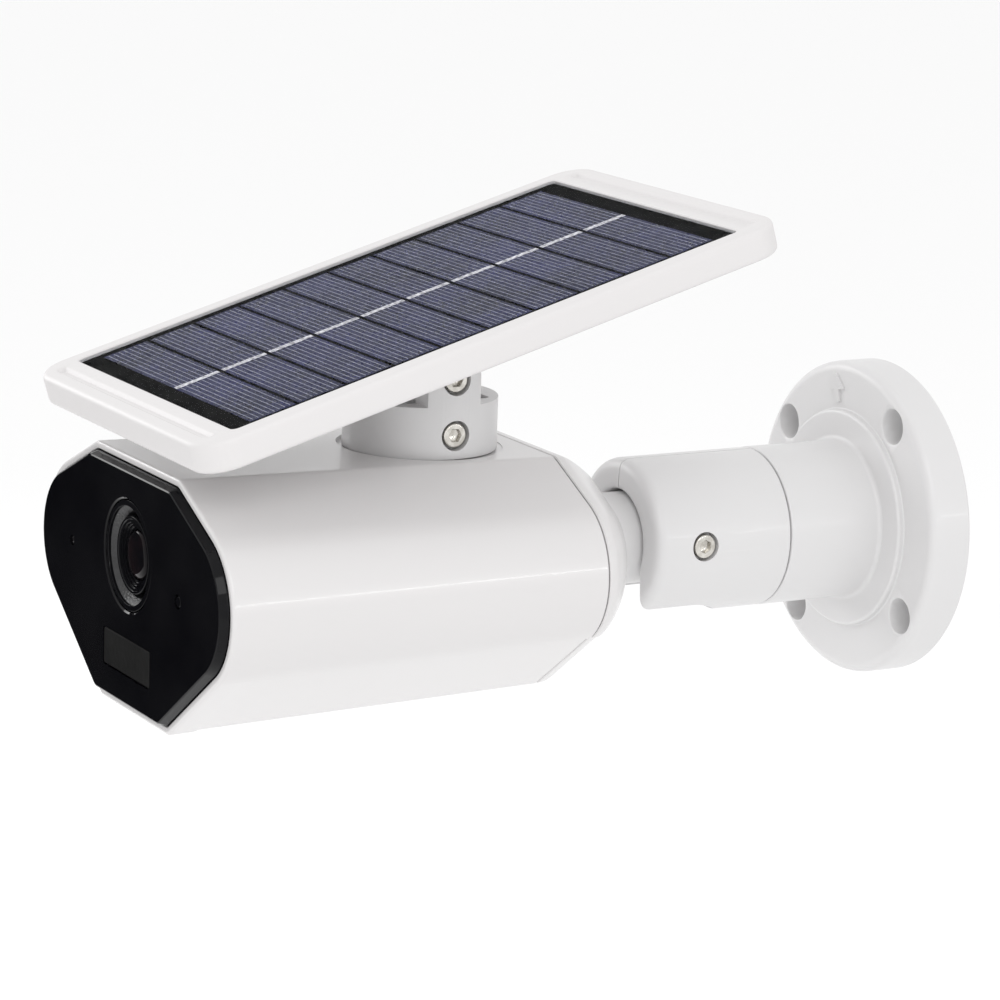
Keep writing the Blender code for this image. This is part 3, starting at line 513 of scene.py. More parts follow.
def soft_block(low, high, edge=0.2, material=0):
    """A box with small chamfers round its upper and lower edges and its corners."""
    rings = []
    for inset, level in ((edge, low[2]), (0, low[2] + edge), (0, high[2] - edge), (edge, high[2])):
        half = ((high[0] - low[0]) / 2 - inset, (high[1] - low[1]) / 2 - inset)
        middle = ((high[0] + low[0]) / 2, (high[1] + low[1]) / 2)
        ring = rounded(half, max(edge, 0.05), level, 3)
        rings.append([(x + middle[0], y + middle[1], z) for x, y, z in ring])
    return skin(rings, False, material)


def rounded(half, corner, level, steps=10):
    """A ring: a rectangle with round corners, centred on the z axis."""
    ring = []
    for quarter, (sx, sy) in enumerate(((1, 1), (-1, 1), (-1, -1), (1, -1))):
        for step in range(steps + 1):
            angle = math.pi / 2 * (quarter + step / steps)
            ring.append((sx * (half[0] - corner) + corner * math.cos(angle),
                         sy * (half[1] - corner) + corner * math.sin(angle), level))
    return ring


def arch(half, centre, foot, steps=40):
    """Outline of a tab with a round end; the foot is the level of its straight end."""
    sign = 1 if foot < centre[1] else -1
    points = [(centre[0] + half, foot)]
    for step in range(steps + 1):
        angle = math.pi * step / steps
        points.append((centre[0] + half * math.cos(angle), centre[1] + sign * half * math.sin(angle)))
    points.append((centre[0] - half, foot))
    return points


def grown(half, more):
    return half[0] + more, half[1] + more


def joined(*parts):
    """Put several bmeshes into one, each keeping its material numbers."""
    whole = bmesh.new()
    for part in parts:
        mesh = bpy.data.meshes.new("part")
        part.to_mesh(mesh)
        part.free()
        whole.from_mesh(mesh)
        bpy.data.meshes.remove(mesh)
    return whole


def as_object(name, bm):
    mesh = bpy.data.meshes.new(name)
    bm.to_mesh(mesh)
    bm.free()
    made = bpy.data.objects.new(name, mesh)
    bpy.context.scene.collection.objects.link(made)
    return made


def carved(bm, cuts=(), adds=(), soften=0.0, angle=38.0):
    """Boolean a shape with others and round its edges, giving the finished bmesh back."""
    target = as_object("target", bm)
    tools = []
    for group, operation in ((adds, "UNION"), (cuts, "DIFFERENCE")):
        for tool in group:
            tools.append(as_object("tool", tool))
            boolean = target.modifiers.new("boolean", "BOOLEAN")
            boolean.operation = operation
            boolean.solver = "EXACT"
            boolean.object = tools[-1]
    if soften:
        bevel = target.modifiers.new("bevel", "BEVEL")
        bevel.width = soften
        bevel.segments = 3
        bevel.limit_method = "ANGLE"
        bevel.angle_limit = math.radians(angle)
        bevel.use_clamp_overlap = True
    bpy.context.view_layer.update()
    ready = target.evaluated_get(bpy.context.evaluated_depsgraph_get())
    result = bmesh.new()
    result.from_mesh(ready.to_mesh())
    ready.to_mesh_clear()
    for item in [target] + tools:
        mesh = item.data
        bpy.data.objects.remove(item, do_unlink=True)
        bpy.data.meshes.remove(mesh)
    return result


def show(name, bm, place, body, slot, looks=None, nodes=(), sharp=32.0):
    """Finish a piece: scale to metres, put it in its place, paint it and let it ride its body."""
    bmesh.ops.transform(bm, matrix=Matrix.Scale(MM, 4), verts=bm.verts)
    made = as_object(name, bm)
    for look in looks or (slot,):
        made.data.materials.append(LOOKS[look])
    made.data.shade_smooth()
    made.data.set_sharp_from_angle(angle=math.radians(sharp))
    matrix = place.copy()
    matrix.translation = matrix.translation * MM
    made.matrix_world = matrix
    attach(made, body)
    if nodes:
        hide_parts(*nodes)
    return made


# ---- body section ----------------------------------------------------------------------------

def meet(point, along, other, other_along):
    cross = along[0] * other_along[1] - along[1] * other_along[0]
    reach = ((other[0] - point[0]) * other_along[1] - (other[1] - point[1]) * other_along[0]) / cross
    return point[0] + along[0] * reach, point[1] + along[1] * reach


def half_section(grow, ridge=LEAST_STEP, arc_steps=28):
    """Right half of the body's section, top to bottom, moved outward by grow all round.

    The ridge is how far the slope under the flank steps in.
    """
    run, fall = SHOULDER[0] - TOP_HALF, SHOULDER[1] - TOP_UP
    length = math.hypot(run, fall)
    along = (run / length, fall / length)
    normal = (-along[1], along[0])
    centre = (SHOULDER[0] - normal[0] * FLANK_RADIUS, SHOULDER[1] - normal[1] * FLANK_RADIUS)
    on_shoulder = (SHOULDER[0] + normal[0] * grow, SHOULDER[1] + normal[1] * grow)
    corner = meet(on_shoulder, along, (0, TOP_UP + grow), (1, 0))
    radius = FLANK_RADIUS + grow
    start = math.atan2(normal[1], normal[0])
    end = math.radians(SLOPE_TURN - 90)
    flank = []
    for step in range(arc_steps + 1):
        angle = start + (end - start) * step / arc_steps
        flank.append((centre[0] + radius * math.cos(angle), centre[1] + radius * math.sin(angle)))
    radius -= ridge
    step_in = (centre[0] + radius * math.cos(end), centre[1] + radius * math.sin(end))
    slope = (math.sin(end), -math.cos(end))
    keel = meet(step_in, slope, (0, KEEL_UP - grow), (1, 0))
    top = softened([(0, TOP_UP + grow), (*corner, TOP_CORNER), flank[0]], steps=6)[1:-1]
    low = softened([step_in, (*keel, KEEL_CORNER), (0, KEEL_UP - grow)], steps=6)[1:-1]
    return top + flank + [step_in] + low


def body_scale(out):
    share = (min(out, BODY_FRONT) - BODY_REAR) / (BODY_FRONT - BODY_REAR)
    return REAR_SCALE + (1 - REAR_SCALE) * share


def section(grow, out, across=1.0, upward=1.0, ridge=LEAST_STEP):
    """A ring of the body's section at a distance from the wall, with optional extra scales."""
    scale = body_scale(max(out, BODY_REAR))
    right = half_section(grow, ridge)
    outline = right + [(-x, y) for x, y in reversed(right)]
    return [(x * scale * across, SECTION_MID + (y - SECTION_MID) * scale * upward, out)
            for x, y in outline]


def narrowed(grow, out, share, ridge=LEAST_STEP):
    """A ring of the rear cap: the section takes the share across, and less of it upward."""
    return section(grow, out, share, 1 - CAP_UP_SHARE * (1 - share), ridge)


def keel_at(out):
    return SECTION_MID + (KEEL_UP - BODY_GROW - SECTION_MID) * body_scale(out)


# ---- screws ----------------------------------------------------------------------------------

def socket_screw(name, place, body, seat, tip, up, out, nodes):
    """Socket-head screw along x, with a round-edged head and a hex socket."""
    head = seat + HEAD_HEIGHT
    centre = (up, out)
    profile = softened([(0, tip), (SHANK_RADIUS - 0.3, tip), (SHANK_RADIUS, tip + 0.3),
                        (SHANK_RADIUS, seat), (HEAD_RADIUS - 0.15, seat), (HEAD_RADIUS, seat + 0.15),
                        (HEAD_RADIUS, head, 0.45), (0, head)], steps=5)
    bm = lathe(profile, MID, centre, "x")
    socket = lathe([(0, head - SOCKET_DEPTH - 0.5), (SOCKET_RADIUS, head - SOCKET_DEPTH),
                    (SOCKET_RADIUS, head - 0.12), (SOCKET_RADIUS + 0.3, head + 0.2),
                    (SOCKET_RADIUS + 0.3, head + 1)], 6, centre, "x")
    show(name, carved(bm, [socket]), place, body, "steel", nodes=nodes)


def hex_nut(name, place, body, low, high, up, out, nodes):
    ring = softened([(SHANK_RADIUS + 0.1, low), (NUT_RADIUS, low), (NUT_RADIUS, high),
                     (SHANK_RADIUS + 0.1, high)], closed=True)
    bm = carved(lathe(ring, 6, (up, out), "x", closed=True), soften=0.15, angle=30)
    show(name, bm, place, body, "steel", nodes=nodes)


# ---- bracket ---------------------------------------------------------------------------------

def wall_flange():
    top = FLANGE_THICK
    profile = softened([(0, 0), (36.6, 0, 0.3), (FLANGE_RADIUS, 0.6, 0.4),
                        (FLANGE_RADIUS, top, 2.4), (BOSS_RADIUS, top, 0.5), (BOSS_RADIUS, BOSS_TOP, 1.1),
                        (NECK_RADIUS, BOSS_TOP, 1.3), (NECK_RADIUS, NECK_END, 0.5),
                        (SPIGOT_RADIUS, NECK_END), (SPIGOT_RADIUS, COLLAR_START),
                        (COLLAR_RADIUS, COLLAR_START), (COLLAR_RADIUS, COLLAR_END), (0, COLLAR_END)],
                       steps=7)
    holes = []
    for hole in range(4):
        angle = math.radians(WALL_HOLE_TURN + 90 * hole)
        centre = (WALL_HOLE_CIRCLE * math.cos(angle), WALL_HOLE_CIRCLE * math.sin(angle))
        sink = [(0, -1), (WALL_HOLE_RADIUS, -1), (WALL_HOLE_RADIUS, 3.4), (WALL_SINK_RADIUS, 4.4),
                (WALL_SINK_RADIUS, top - 0.5), (4.25, top - 0.15), (4.6, top + 0.02), (5.2, top + 1.4),
                (0, top + 1.4)]
        holes.append(lathe(sink, 48, centre))
    flange = carved(lathe(profile), holes)
    turn = math.radians(ARROW_TURN)
    arrow = prism([(x * math.cos(turn) - y * math.sin(turn), x * math.sin(turn) + y * math.cos(turn))
                   for x, y in ARROW], top - ARROW_ROOT, top + ARROW_LIFT)
    flange = carved(flange, adds=[arrow])
    show("wall_flange_shell", flange, OUT_FRAME, "wall_base", "white_arm", nodes=["wall_flange"])


def arm_shell(name, side, node):
    """One half of the clamp arm; side is +1 for the half at +X."""
    start = NECK_END + GAP
    profile = softened([(0, start), (ARM_RADIUS, start, 0.5), (ARM_RADIUS, ARM_END - 0.3, 3.0),
                        (12.9, ARM_END), (0, ARM_END)], steps=10)
    shell = lathe(profile)
    groove = lathe([(0, NECK_END - 1), (SPIGOT_RADIUS + GAP, NECK_END - 1),
                    (SPIGOT_RADIUS + GAP, COLLAR_START - GAP), (COLLAR_RADIUS + GAP, COLLAR_START - GAP),
                    (COLLAR_RADIUS + GAP, COLLAR_END + GAP), (0, COLLAR_END + GAP)])
    floor = PIVOT_OUT + MOUTH_DEEP
    mouth = lathe([(0, floor), (MOUTH_RADIUS, floor), (MOUTH_RADIUS, ARM_END - 0.8),
                   (MOUTH_RADIUS + 0.3, ARM_END - 0.3), (MOUTH_RADIUS + 1.0, ARM_END + 0.1),
                   (MOUTH_RADIUS + 1.2, ARM_END + 3)])
    outline = arch(SLOT_HALF, (0, PIVOT_OUT - PIVOT_UP), ARM_END + 5)
    slot = prism(outline, -BEYOND, SLOT_BACK, "xz")
    near, far = sorted((SHELL_PARTING * side, -BEYOND * side))
    other_half = block((near, -BEYOND, 30), (far, BEYOND, 80))
    cuts = [other_half, groove, mouth, slot, ball(KNUCKLE_RADIUS + 0.4, (0, PIVOT_UP, PIVOT_OUT))]
    centre = (PIVOT_UP, PIVOT_OUT)
    if side > 0:
        cuts.append(rod(HEAD_SINK, ARM_RADIUS - 2.9, ARM_RADIUS + 3, centre, "x", 48))
    else:
        cuts.append(rod(NUT_RADIUS + GAP, -ARM_RADIUS - 3, -ARM_RADIUS + 3, centre, "x", 6))
    cuts.append(rod(SHANK_HOLE, -ARM_RADIUS + 1, ARM_RADIUS - 1, centre, "x"))
    show(name, carved(shell, cuts, soften=0.25, angle=40), OUT_FRAME, "arm", "white_arm",
         nodes=[node])


def stem():
    start = PIVOT_OUT + 1
    end = CAP_BACK - GAP
    profile = softened([(0, start), (STEM_RADIUS, start), (STEM_RADIUS, end, 0.5), (PIN_RADIUS, end),
                        (PIN_RADIUS, PIN_END, 0.3), (0, PIN_END)])
    knuckle = carved(lathe(profile), adds=[ball(KNUCKLE_RADIUS, (0, PIVOT_UP, PIVOT_OUT), 48, FINE)],
                     cuts=[rod(SHANK_HOLE, -20, 20, (PIVOT_UP, PIVOT_OUT), "x")])
    show("stem_ball", knuckle, OUT_FRAME, "knuckle", "white_arm", nodes=["stem_knuckle"])


def bracket():
    wall_flange()
    arm_shell("arm_half_right", 1, "arm_shell_right")
    arm_shell("arm_half_left", -1, "arm_shell_left")
    seat = ARM_RADIUS - 2.8
    socket_screw("arm_clamp_screw", OUT_FRAME, "arm", seat, -ARM_RADIUS + 0.6, PIVOT_UP, PIVOT_OUT,
                 ["clamp_screw"])
    hex_nut("arm_clamp_nut", OUT_FRAME, "arm", -ARM_RADIUS + 0.5, -ARM_RADIUS + 2.8, PIVOT_UP,
            PIVOT_OUT, ["clamp_nut"])
    stem()


# ---- camera body -----------------------------------------------------------------------------

def cap_share(out):
    """Width share of the rear cap at a distance from the wall, smoothly through its rings."""
    rings = sorted(CAP_RINGS)
    for index, (low, high) in enumerate(zip(rings, rings[1:])):
        if out <= high[0]:
            break
    before = rings[max(index - 1, 0)]
    after = rings[min(index + 2, len(rings) - 1)]
    span = high[0] - low[0]
    share = (out - low[0]) / span
    first = (high[1] - before[1]) / (high[0] - before[0]) * span
    second = (after[1] - low[1]) / (after[0] - low[0]) * span
    return ((2 * share ** 3 - 3 * share ** 2 + 1) * low[1]
            + (share ** 3 - 2 * share ** 2 + share) * first
            + (3 * share ** 2 - 2 * share ** 3) * high[1] + (share ** 3 - share ** 2) * second)


def rear_cap():
    inside = BODY_GROW - WALL_THICK
    parting = CAP_RINGS[0][0]
    rings = [narrowed(BODY_GROW - 1.2, CAP_BACK, CAP_END_SHARE)]
    for step in range(CAP_STEPS + 1):
        out = CAP_BACK + 0.25 + (parting - 0.5 - CAP_BACK) * step / CAP_STEPS
        share = cap_share(min(out, parting))
        fade = max(LEAST_STEP, FLANK_STEP * (1 - 8 * (1 - share)))
        rings.append(narrowed(BODY_GROW, out, share, fade))
    rings.append(section(BODY_GROW - 0.3, parting, ridge=FLANK_STEP))
    rings.append(section(inside - GAP, parting))
    rings.append(section(inside - GAP, BODY_REAR + CAP_LIP))
    rings.append(section(inside - CAP_LIP_INSIDE, BODY_REAR + CAP_LIP))
    rings.append(section(inside - CAP_LIP_INSIDE, parting))
    for out, share in CAP_RINGS[2:]:
        rings.append(narrowed(inside, out + CAP_WALL, share * CAP_INSIDE_SHARE))
    hole = lathe([(PIN_RADIUS + GAP, CAP_BACK + 6), (PIN_RADIUS + GAP, CAP_BACK + 0.4),
                  (PIN_RADIUS + GAP + 0.4, CAP_BACK), (PIN_RADIUS + GAP + 0.6, CAP_BACK - 2)], MID)
    show("rear_cap_shell", carved(skin(rings), [hole]), OUT_FRAME, "camera", "white_shell",
         nodes=["rear_cap"], sharp=28)


def housing():
    inside = BODY_GROW - WALL_THICK
    front = BODY_FRONT
    rim = softened([(BODY_GROW, front - 6), (BODY_GROW, front, 2.0), (GAP, front, 0.4),
                    (GAP, front - 2.6)], steps=8)
    profile = [(BODY_GROW - 0.3, BODY_REAR), (BODY_GROW, BODY_REAR + 0.3)]
    profile += [(BODY_GROW, BODY_REAR + (front - 8 - BODY_REAR) * step / (OUTER_RINGS - 2))
                for step in range(1, OUTER_RINGS - 1)]
    profile += rim
    profile += [(-2.5, front - 2.6), (-2.5, front - 4.9), (inside, front - 6.1),
                (inside, BODY_REAR)]
    rings = []
    for index, (grow, out) in enumerate(profile):
        outside = index < OUTER_RINGS
        rings.append(section(grow, out, ridge=FLANK_STEP if outside else LEAST_STEP))
    centre = (TURN_OUT, 0)
    recess = lathe([(RECESS_RADIUS, RECESS_FLOOR), (RECESS_RADIUS, 26.4), (RECESS_RADIUS + 0.5, 27.2),
                    (RECESS_RADIUS + 1.4, 29), (RECESS_RADIUS + 1.4, 40)], FINE, centre, "y")
    hole = rod(TURN_PIN + GAP, 0, 40, centre, "y", MID)
    out_low, out_high = HATCH_OUT
    middle = (out_low + out_high) / 2
    ring = rounded((HATCH_HALF, (out_high - out_low) / 2), 0.2, 0, 6)
    hatch = skin([[(x, level, y + middle) for x, y, _ in ring] for level in (-40, -20)])
    shell = carved(skin(rings, closed=True), [recess, hole, hatch])
    show("housing_shell", shell, OUT_FRAME, "camera", "white_shell", nodes=["housing"], sharp=28)


def front_plate():
    rings = [section(0, PLATE_BACK), section(0, PLATE_EDGE - 0.15), section(-0.12, PLATE_EDGE + 0.1),
             section(-PLATE_BEVEL + 0.15, PLATE_FRONT - 0.18), section(-PLATE_BEVEL - 0.15, PLATE_FRONT)]
    back, front = PLATE_BACK - 2, PLATE_FRONT
    lens = lathe([(LENS_HOLE, back), (LENS_HOLE, front - 0.3), (LENS_HOLE + 0.35, front),
                  (LENS_HOLE + 0.6, front + 2)], FINE, (0, LENS_UP))
    window = skin([[(x, y + PIR_UP, z) for x, y, z in rounded(PIR_HALF, 0.6, level, 4)]
                   for level in (back, front + 2)])
    eye = rod(1.2, back, front + 2, LIGHT_SENSOR_AT)
    lamp = rod(1.6, back, front + 2, STATUS_LED_AT)
    plate = carved(skin(rings), [lens, window, eye, lamp])
    show("front_window", plate, OUT_FRAME, "camera", "black_acrylic", nodes=["front_plate"], sharp=24)


def lens_group():
    centre = (0, LENS_UP)
    front = PLATE_FRONT
    lip = softened([(12.1, front - 0.3, 0.1), (10.9, front - 0.2, 0.1), (10.8, front - 0.8),
                    (12.1, front - 0.9)], closed=True)
    cone = softened([(12.0, front - 0.95), (10.8, front - 0.85, 0.1), (9.3, front - 2.4, 0.4),
                     (9.1, front - 5.5), (9.1, front - 6.9), (10.6, front - 6.9), (12.0, front - 4.5)],
                    closed=True)
    hood = joined(lathe(cone, FINE, centre, closed=True),
                  lathe(lip, FINE, centre, closed=True, material=1))
    show("lens_hood_ring", hood, OUT_FRAME, "camera", "black_plastic",
         looks=["hood_black", "black_acrylic"], nodes=["lens_hood"])
    steps = [(BARREL_FIRST, front - 4.9)]
    for index in range(BARREL_RINGS):
        radius = BARREL_FIRST + BARREL_PITCH * index
        level = front - LENS_SINK - BARREL_DEEP + BARREL_RISE * index
        steps += [(radius, level), (radius + 0.5, level + 0.05)]
    steps += [(7.9, front - LENS_SINK, 0.1), (8.5, front - LENS_SINK, 0.25), (8.7, front - 7.5),
              (BARREL_TAIL, front - 7.5), (BARREL_TAIL, BARREL_BACK), (4.4, BARREL_BACK),
              (4.4, front - 4.9)]
    show("lens_barrel_rings", lathe(softened(steps, closed=True), FINE, centre, closed=True), OUT_FRAME,
         "camera", "black_plastic", looks=["black_acrylic"], nodes=["lens_barrel"])
    foot = front - LENS_SINK - BARREL_DEEP
    dome = [(0, front - DOME_BACK), (DOME_RADIUS, front - DOME_BACK), (DOME_RADIUS + 0.05, foot)]
    for step in range(1, DOME_STEPS + 1):
        angle = math.pi / 2 * step / DOME_STEPS
        dome.append((DOME_RADIUS * math.cos(angle), foot + DOME_RISE * math.sin(angle)))
    dome[-1] = (0, front - LENS_SINK - 0.3)
    show("lens_dome", lathe(dome, MID, centre), OUT_FRAME, "camera", "lens_glass",
         nodes=["lens_front_element"])


def front_sensors():
    low, high = PLATE_BACK, PLATE_FRONT - 0.1
    half = grown(PIR_HALF, -GAP)
    film = skin([[(x, y + PIR_UP, z) for x, y, z in rounded(inner, 0.5, level, 4)]
                 for inner, level in ((half, low), (half, high - 0.15), (grown(half, -0.15), high))])
    show("pir_window_film", film, OUT_FRAME, "camera", "pir_film", nodes=["pir_window"])
    back = SENSOR_BACK
    eye = lathe([(0, back), (0.95, back), (0.95, high - 0.5), (0.6, high - 0.15), (0, high)], SMALL,
                LIGHT_SENSOR_AT)
    show("light_sensor_eye", eye, OUT_FRAME, "camera", "lens_glass", nodes=["light_sensor"])
    lamp = lathe([(0, back), (1.35, back), (1.35, high - 0.3), (1.1, high), (0, high)], SMALL,
                 STATUS_LED_AT)
    show("status_lamp", lamp, OUT_FRAME, "camera", "clear_glass", looks=["black_acrylic"],
         nodes=["status_led"])


def hatch():
    low, high = HATCH_OUT
    half = (HATCH_HALF - GAP, (high - low) / 2 - GAP)
    middle = (high + low) / 2
    rings = []
    for inset, lift in ((0.25, 0.0), (0.0, 0.25), (0.0, HATCH_THICK)):
        ring = rounded(grown(half, -inset), 1.3, 0, 6)
        rings.append([(x, keel_at(y + middle) + lift, y + middle) for x, y, _ in ring])
    flap = skin(rings)
    notch = soft_block((-4.0, high - 2.6, 0), (4.0, high - 1.2, 0.6), 0.2)
    for vert in notch.verts:
        x, y, z = vert.co
        vert.co = (x, keel_at(y) - 0.3 + z, y)
    bmesh.ops.recalc_face_normals(notch, faces=notch.faces)
    show("hatch_flap", carved(flap, [notch]), OUT_FRAME, "hatch", "silicone", nodes=["service_hatch"])


def camera_body():
    rear_cap()
    housing()
    front_plate()
    lens_group()
    front_sensors()
    hatch()


# ---- turntable -------------------------------------------------------------------------------

def turntable():
    bore = TURN_PIN + GAP
    top = TILT_UP + EAR_HALF + 1
    outer = softened([(SEAL_EDGE, TURN_BASE), (TURN_RADIUS, TURN_BASE, 0.3), (TURN_RADIUS, top)])
    profile = [(0, HUB_TOP + GAP), (bore, HUB_TOP + GAP), (bore, TURN_BASE), (SEAL_RADIUS, TURN_BASE),
               (SEAL_RADIUS, TURN_BASE + SEAL_DEEP), (SEAL_EDGE, TURN_BASE + SEAL_DEEP)]
    profile += outer + [(0, top)]
    ear = arch(EAR_HALF, (0, TILT_UP), TURN_RIM)
    above = [(-BEYOND, TURN_RIM)] + ear[::-1]
    above += [(BEYOND, TURN_RIM), (BEYOND, ABOVE), (-BEYOND, ABOVE)]
    radius = TURN_RADIUS
    cuts = [prism(above, -BEYOND, BEYOND, "yz"),
            skin([rounded((EAR_INSIDE, POCKET_HALF), 1.5, level, 6) for level in (POCKET_FLOOR, ABOVE)]),
            rod(3.0, HUB_TOP - 1, POCKET_FLOOR + 1),
            rod(SHANK_HOLE, -BEYOND, BEYOND, (0, TILT_UP), "x"),
            rod(HEAD_SINK, radius - HEAD_POCKET, BEYOND, (0, TILT_UP), "x", 48),
            rod(NUT_RADIUS + GAP, -BEYOND, -radius + NUT_POCKET, (0, TILT_UP), "x", 6),
            rod(SHANK_HOLE, 5, BEYOND, (0, LOCK_UP), "x"),
            rod(HEAD_SINK, radius - HEAD_POCKET, BEYOND, (0, LOCK_UP), "x", 48)]
    body = carved(lathe(profile), cuts, soften=0.35, angle=42)
    show("turntable_cup", body, TURN_FRAME, "turntable", "white_arm", nodes=["turntable"])
    seat = radius - 3.1
    socket_screw("tilt_pivot_screw", TURN_FRAME, "turntable", seat, -radius + 0.8, 0, TILT_UP,
                 ["pivot_screw"])
    hex_nut("tilt_pivot_nut", TURN_FRAME, "turntable", -radius + 0.5, -radius + 2.8, 0, TILT_UP,
            ["pivot_nut"])
    socket_screw("pan_lock_screw", TURN_FRAME, "turntable", seat, 7.6, 0, LOCK_UP, ["lock_screw"])


# ---- solar panel -----------------------------------------------------------------------------

def panel_frame():
    wide, long = PANEL_HALF
    corner = PANEL_CORNER
    outer = softened([(-2.5, FRAME_LOW), (0, FRAME_LOW, 1.4), (0, RIM_TOP, 1.7), (-3.0, RIM_TOP)],
                     steps=7)
    rings = [rounded((wide + inset, long + inset), corner + inset, level) for inset, level in outer]
    step = grown(GLASS_HALF, GAP)
    rings += [rounded(grown(step, 0.3), 1.6, RIM_TOP), rounded(step, 1.5, RIM_TOP - 0.25),
              rounded(step, 1.5, GLASS_TOP - RECESS_DEEP),
              rounded(grown(GLASS_HALF, -LEDGE), 1.5, GLASS_TOP - RECESS_DEEP),
              rounded(grown(GLASS_HALF, -LEDGE), 1.5, FRAME_LOW + FRAME_WALL),
              rounded(grown(PANEL_HALF, -2.5), corner - 2.5, FRAME_LOW + FRAME_WALL)]
    grooves = []
    for side in (-1, 1):
        rows = []
        for half, level in ((0.5, RIM_TOP - 0.8), (0.8, RIM_TOP - 0.6), (1.1, RIM_TOP - 0.2),
                            (1.5, RIM_TOP + 0.02), (2.2, RIM_TOP + 1.0)):
            rows.append([(x, y + side * GROOVE_AT, z)
                         for x, y, z in rounded((GROOVE_HALF + half, half), half * 0.98, level, 6)])
        grooves.append(skin(rows))
    show("panel_rim", carved(skin(rings, closed=True), grooves), PANEL_FRAME, "panel", "white_shell",
         looks=["white_rim"], nodes=["panel_frame"])


def panel_back():
    half = grown(PANEL_HALF, -BACK_INSET)
    corner = PANEL_CORNER - BACK_INSET
    low = FRAME_LOW - 0.4
    plate = skin([rounded(grown(half, -0.4), corner - 0.4, low), rounded(half, corner, low + 0.4),
                  rounded(half, corner, low + BACK_THICK)])
    lug = arch(LUG_RADIUS, (0, 0), FRAME_LOW + 1)
    inside = EAR_INSIDE - 0.4
    collar = skin([rounded((inside, LUG_RADIUS), 1.0, low + 1.0, 6),
                   rounded((inside, LUG_RADIUS), 1.0, low, 6),
                   rounded((inside, LUG_RADIUS + 0.1), 1.0, low - 0.1, 6)])
    outside, inward = grown(half, -3.2), grown(half, -4.0)
    border = [rounded(outside, corner, low - 1), rounded(outside, corner, low + 0.35),
              rounded(inward, corner - 0.6, low + 0.35), rounded(inward, corner - 0.6, low - 1)]
    back = carved(plate, adds=[prism(lug, -inside, inside, "yz"), collar],
                  cuts=[skin(border, closed=True), rod(SHANK_HOLE, -BEYOND, BEYOND, axis="x")])
    show("panel_back_shell", back, PANEL_FRAME, "panel", "white_shell", nodes=["panel_back"])


def solar_cells():
    """Backing board, ten cells, their fine silver fingers and the broken ribbon down the middle."""
    top = GLASS_TOP - CELL_SINK
    parts = [skin([rounded(GLASS_HALF, 1.2, level) for level in (top - 1.2, top - 0.06)])]
    for cell in range(CELLS):
        middle = (cell - (CELLS - 1) / 2) * CELL_PITCH
        half = CELL_PITCH / 2 - CELL_GAP / 2
        parts.append(block((-CELL_HALF, middle - half, top - CELL_THICK),
                           (CELL_HALF, middle + half, top), 1))
        for finger in range(FINGERS):
            at = middle + (finger - (FINGERS - 1) / 2) * FINGER_PITCH
            parts.append(block((-CELL_HALF + 0.7, at - FINGER_HALF, top - SILVER_PROUD),
                               (CELL_HALF - 0.7, at + FINGER_HALF, top + SILVER_PROUD), 2))
        dash = CELL_PITCH / 2 - BUSBAR_GAP / 2
        parts.append(soft_block((BUSBAR_AT - BUSBAR_HALF, middle - dash, top - SILVER_PROUD),
                                (BUSBAR_AT + BUSBAR_HALF, middle + dash, top + 0.09), 0.03, 3))
    show("solar_cell_board", joined(*parts), PANEL_FRAME, "panel", "solar_cell",
         looks=["solar_backing", "solar_cell", "solar_silver", "solar_ribbon"], nodes=["solar_board"])
    under = top + 0.15
    sheet = skin([rounded(GLASS_HALF, 1.2, under), rounded(GLASS_HALF, 1.2, GLASS_TOP - 0.12),
                  rounded(grown(GLASS_HALF, -0.12), 1.1, GLASS_TOP)])
    show("solar_cover_glass", sheet, PANEL_FRAME, "panel", "clear_glass", nodes=["solar_glass"])


def solar_panel():
    panel_frame()
    panel_back()
    solar_cells()


# ---- CAD nodes that still show, stage, light and camera ----------------------------------------

def paint_cad():
    """Give every CAD node that still shows its procedural material."""
    slots = {entry["node"]: entry["material_slot"] for entry in frame["record"]["subparts"]}
    for name, item in frame["nodes"].items():
        if item.hide_render:
            continue
        item.data.materials.clear()
        item.data.materials.append(LOOKS[slots[name]])


def area_light(name, at, aim, size, power):
    data = bpy.data.lights.new(name, "AREA")
    data.shape = "RECTANGLE"
    data.size, data.size_y = size
    data.energy = power
    lamp = bpy.data.objects.new(name, data)
    lamp.location = at
    lamp.rotation_euler = (Vector(aim) - Vector(at)).to_track_quat("-Z", "Y").to_euler()
    bpy.context.scene.collection.objects.link(lamp)
    return lamp


def stage_slab(name, half, levels, tone, roughness):
    """A square slab for the stage, with its own plain material; gives it and its shader."""
    slab = as_object(name, skin([[(-half, -half, level), (half, -half, level), (half, half, level),
                                  (-half, half, level)] for level in levels]))
    made = bpy.data.materials.new("stage_" + name.replace("stage_", ""))
    made.use_nodes = True
    shader = made.node_tree.nodes["Principled BSDF"]
    shader.inputs["Base Color"].default_value = (tone, tone, tone, 1.0)
    shader.inputs["Roughness"].default_value = roughness
    slab.data.materials.append(made)
    return slab, shader


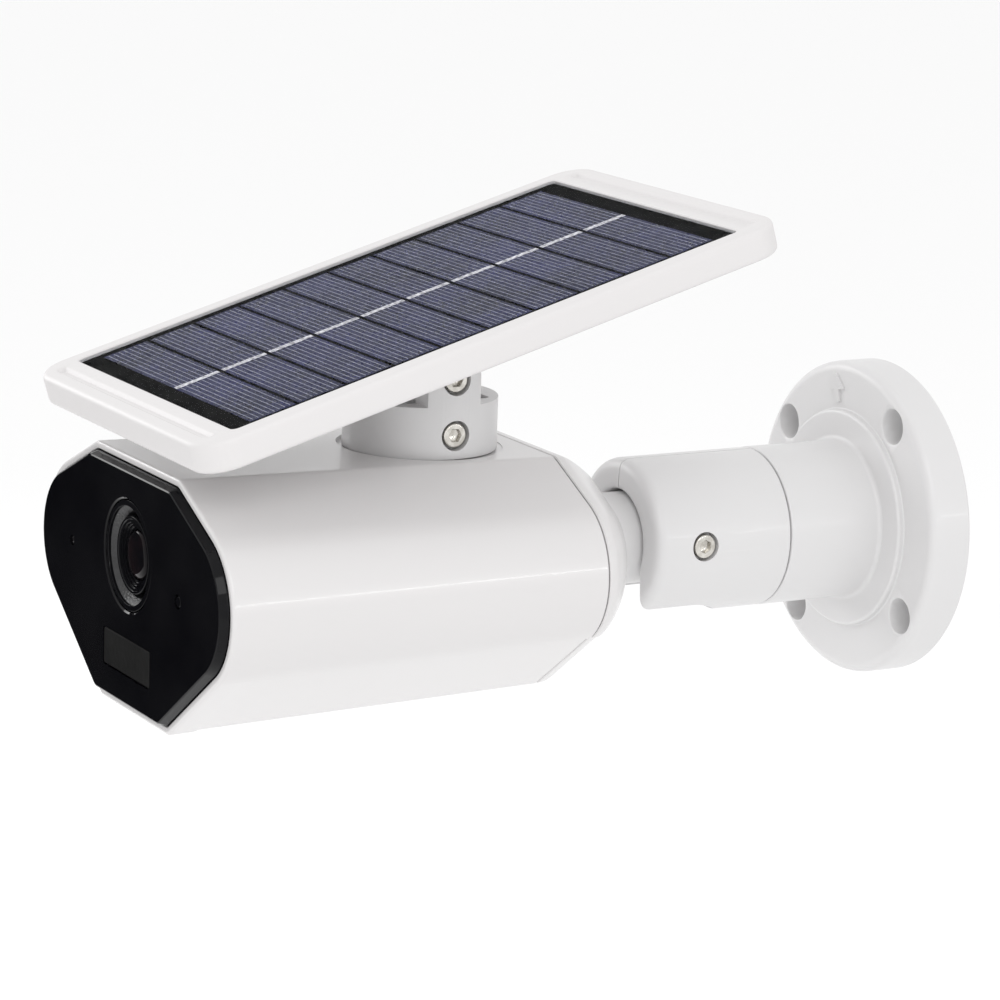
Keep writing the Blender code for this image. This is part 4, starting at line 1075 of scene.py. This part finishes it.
def dark_card():
    """A dark card that only reflections see, as black flags are used round gloss black surfaces."""
    facing = Vector(CARD_TOWARD).normalized()
    card, shader = stage_slab("card_low", CARD_HALF, (0, CARD_THICK), 0.004, 1.0)
    card.location = Vector(CARD_FROM) + facing * CARD_DISTANCE
    card.rotation_euler = facing.to_track_quat("Z", "Y").to_euler()
    shader.inputs["Specular IOR Level"].default_value = 0.0
    for way in ("camera", "diffuse", "transmission", "shadow", "volume_scatter"):
        setattr(card, "visible_" + way, False)


def studio():
    """A pale floor, a white world, four soft lamps, a strip for highlights, and the dark card."""
    floor, _ = stage_slab("stage_floor", FLOOR_HALF, FLOOR_LEVELS, 0.95, 0.9)
    world = bpy.data.worlds.new("studio")
    world.use_nodes = True
    background = world.node_tree.nodes["Background"]
    background.inputs["Color"].default_value = (1.0, 1.0, 1.0, 1.0)
    background.inputs["Strength"].default_value = 1.0
    bpy.context.scene.world = world
    bpy.context.scene.view_settings.view_transform = "Standard"
    lamps = [area_light(*lamp) for lamp in LAMPS]
    lamps[-1].visible_diffuse = False      # the strip makes highlights and no diffuse light
    dark_card()


def camera():
    data = bpy.data.cameras.new("camera")
    data.lens = CAMERA_LENS
    data.sensor_width = 36.0
    data.clip_start = 0.01
    data.clip_end = 50.0
    item = bpy.data.objects.new("camera", data)
    turn, fall, roll = (math.radians(value) for value in (CAMERA_TURN, CAMERA_FALL, CAMERA_ROLL))
    forward = Vector((-math.sin(turn) * math.cos(fall), math.cos(turn) * math.cos(fall),
                      -math.sin(fall)))
    right = Vector((math.cos(turn), math.sin(turn), 0.0))
    upward = right.cross(forward)
    across = right * math.cos(roll) + upward * math.sin(roll)
    above = -right * math.sin(roll) + upward * math.cos(roll)
    matrix = Matrix((across, above, -forward)).transposed().to_4x4()
    matrix.translation = Vector(CAMERA_AT)
    item.matrix_world = matrix
    bpy.context.scene.collection.objects.link(item)
    bpy.context.scene.camera = item


bracket()
camera_body()
turntable()
solar_panel()
paint_cad()
studio()
camera()
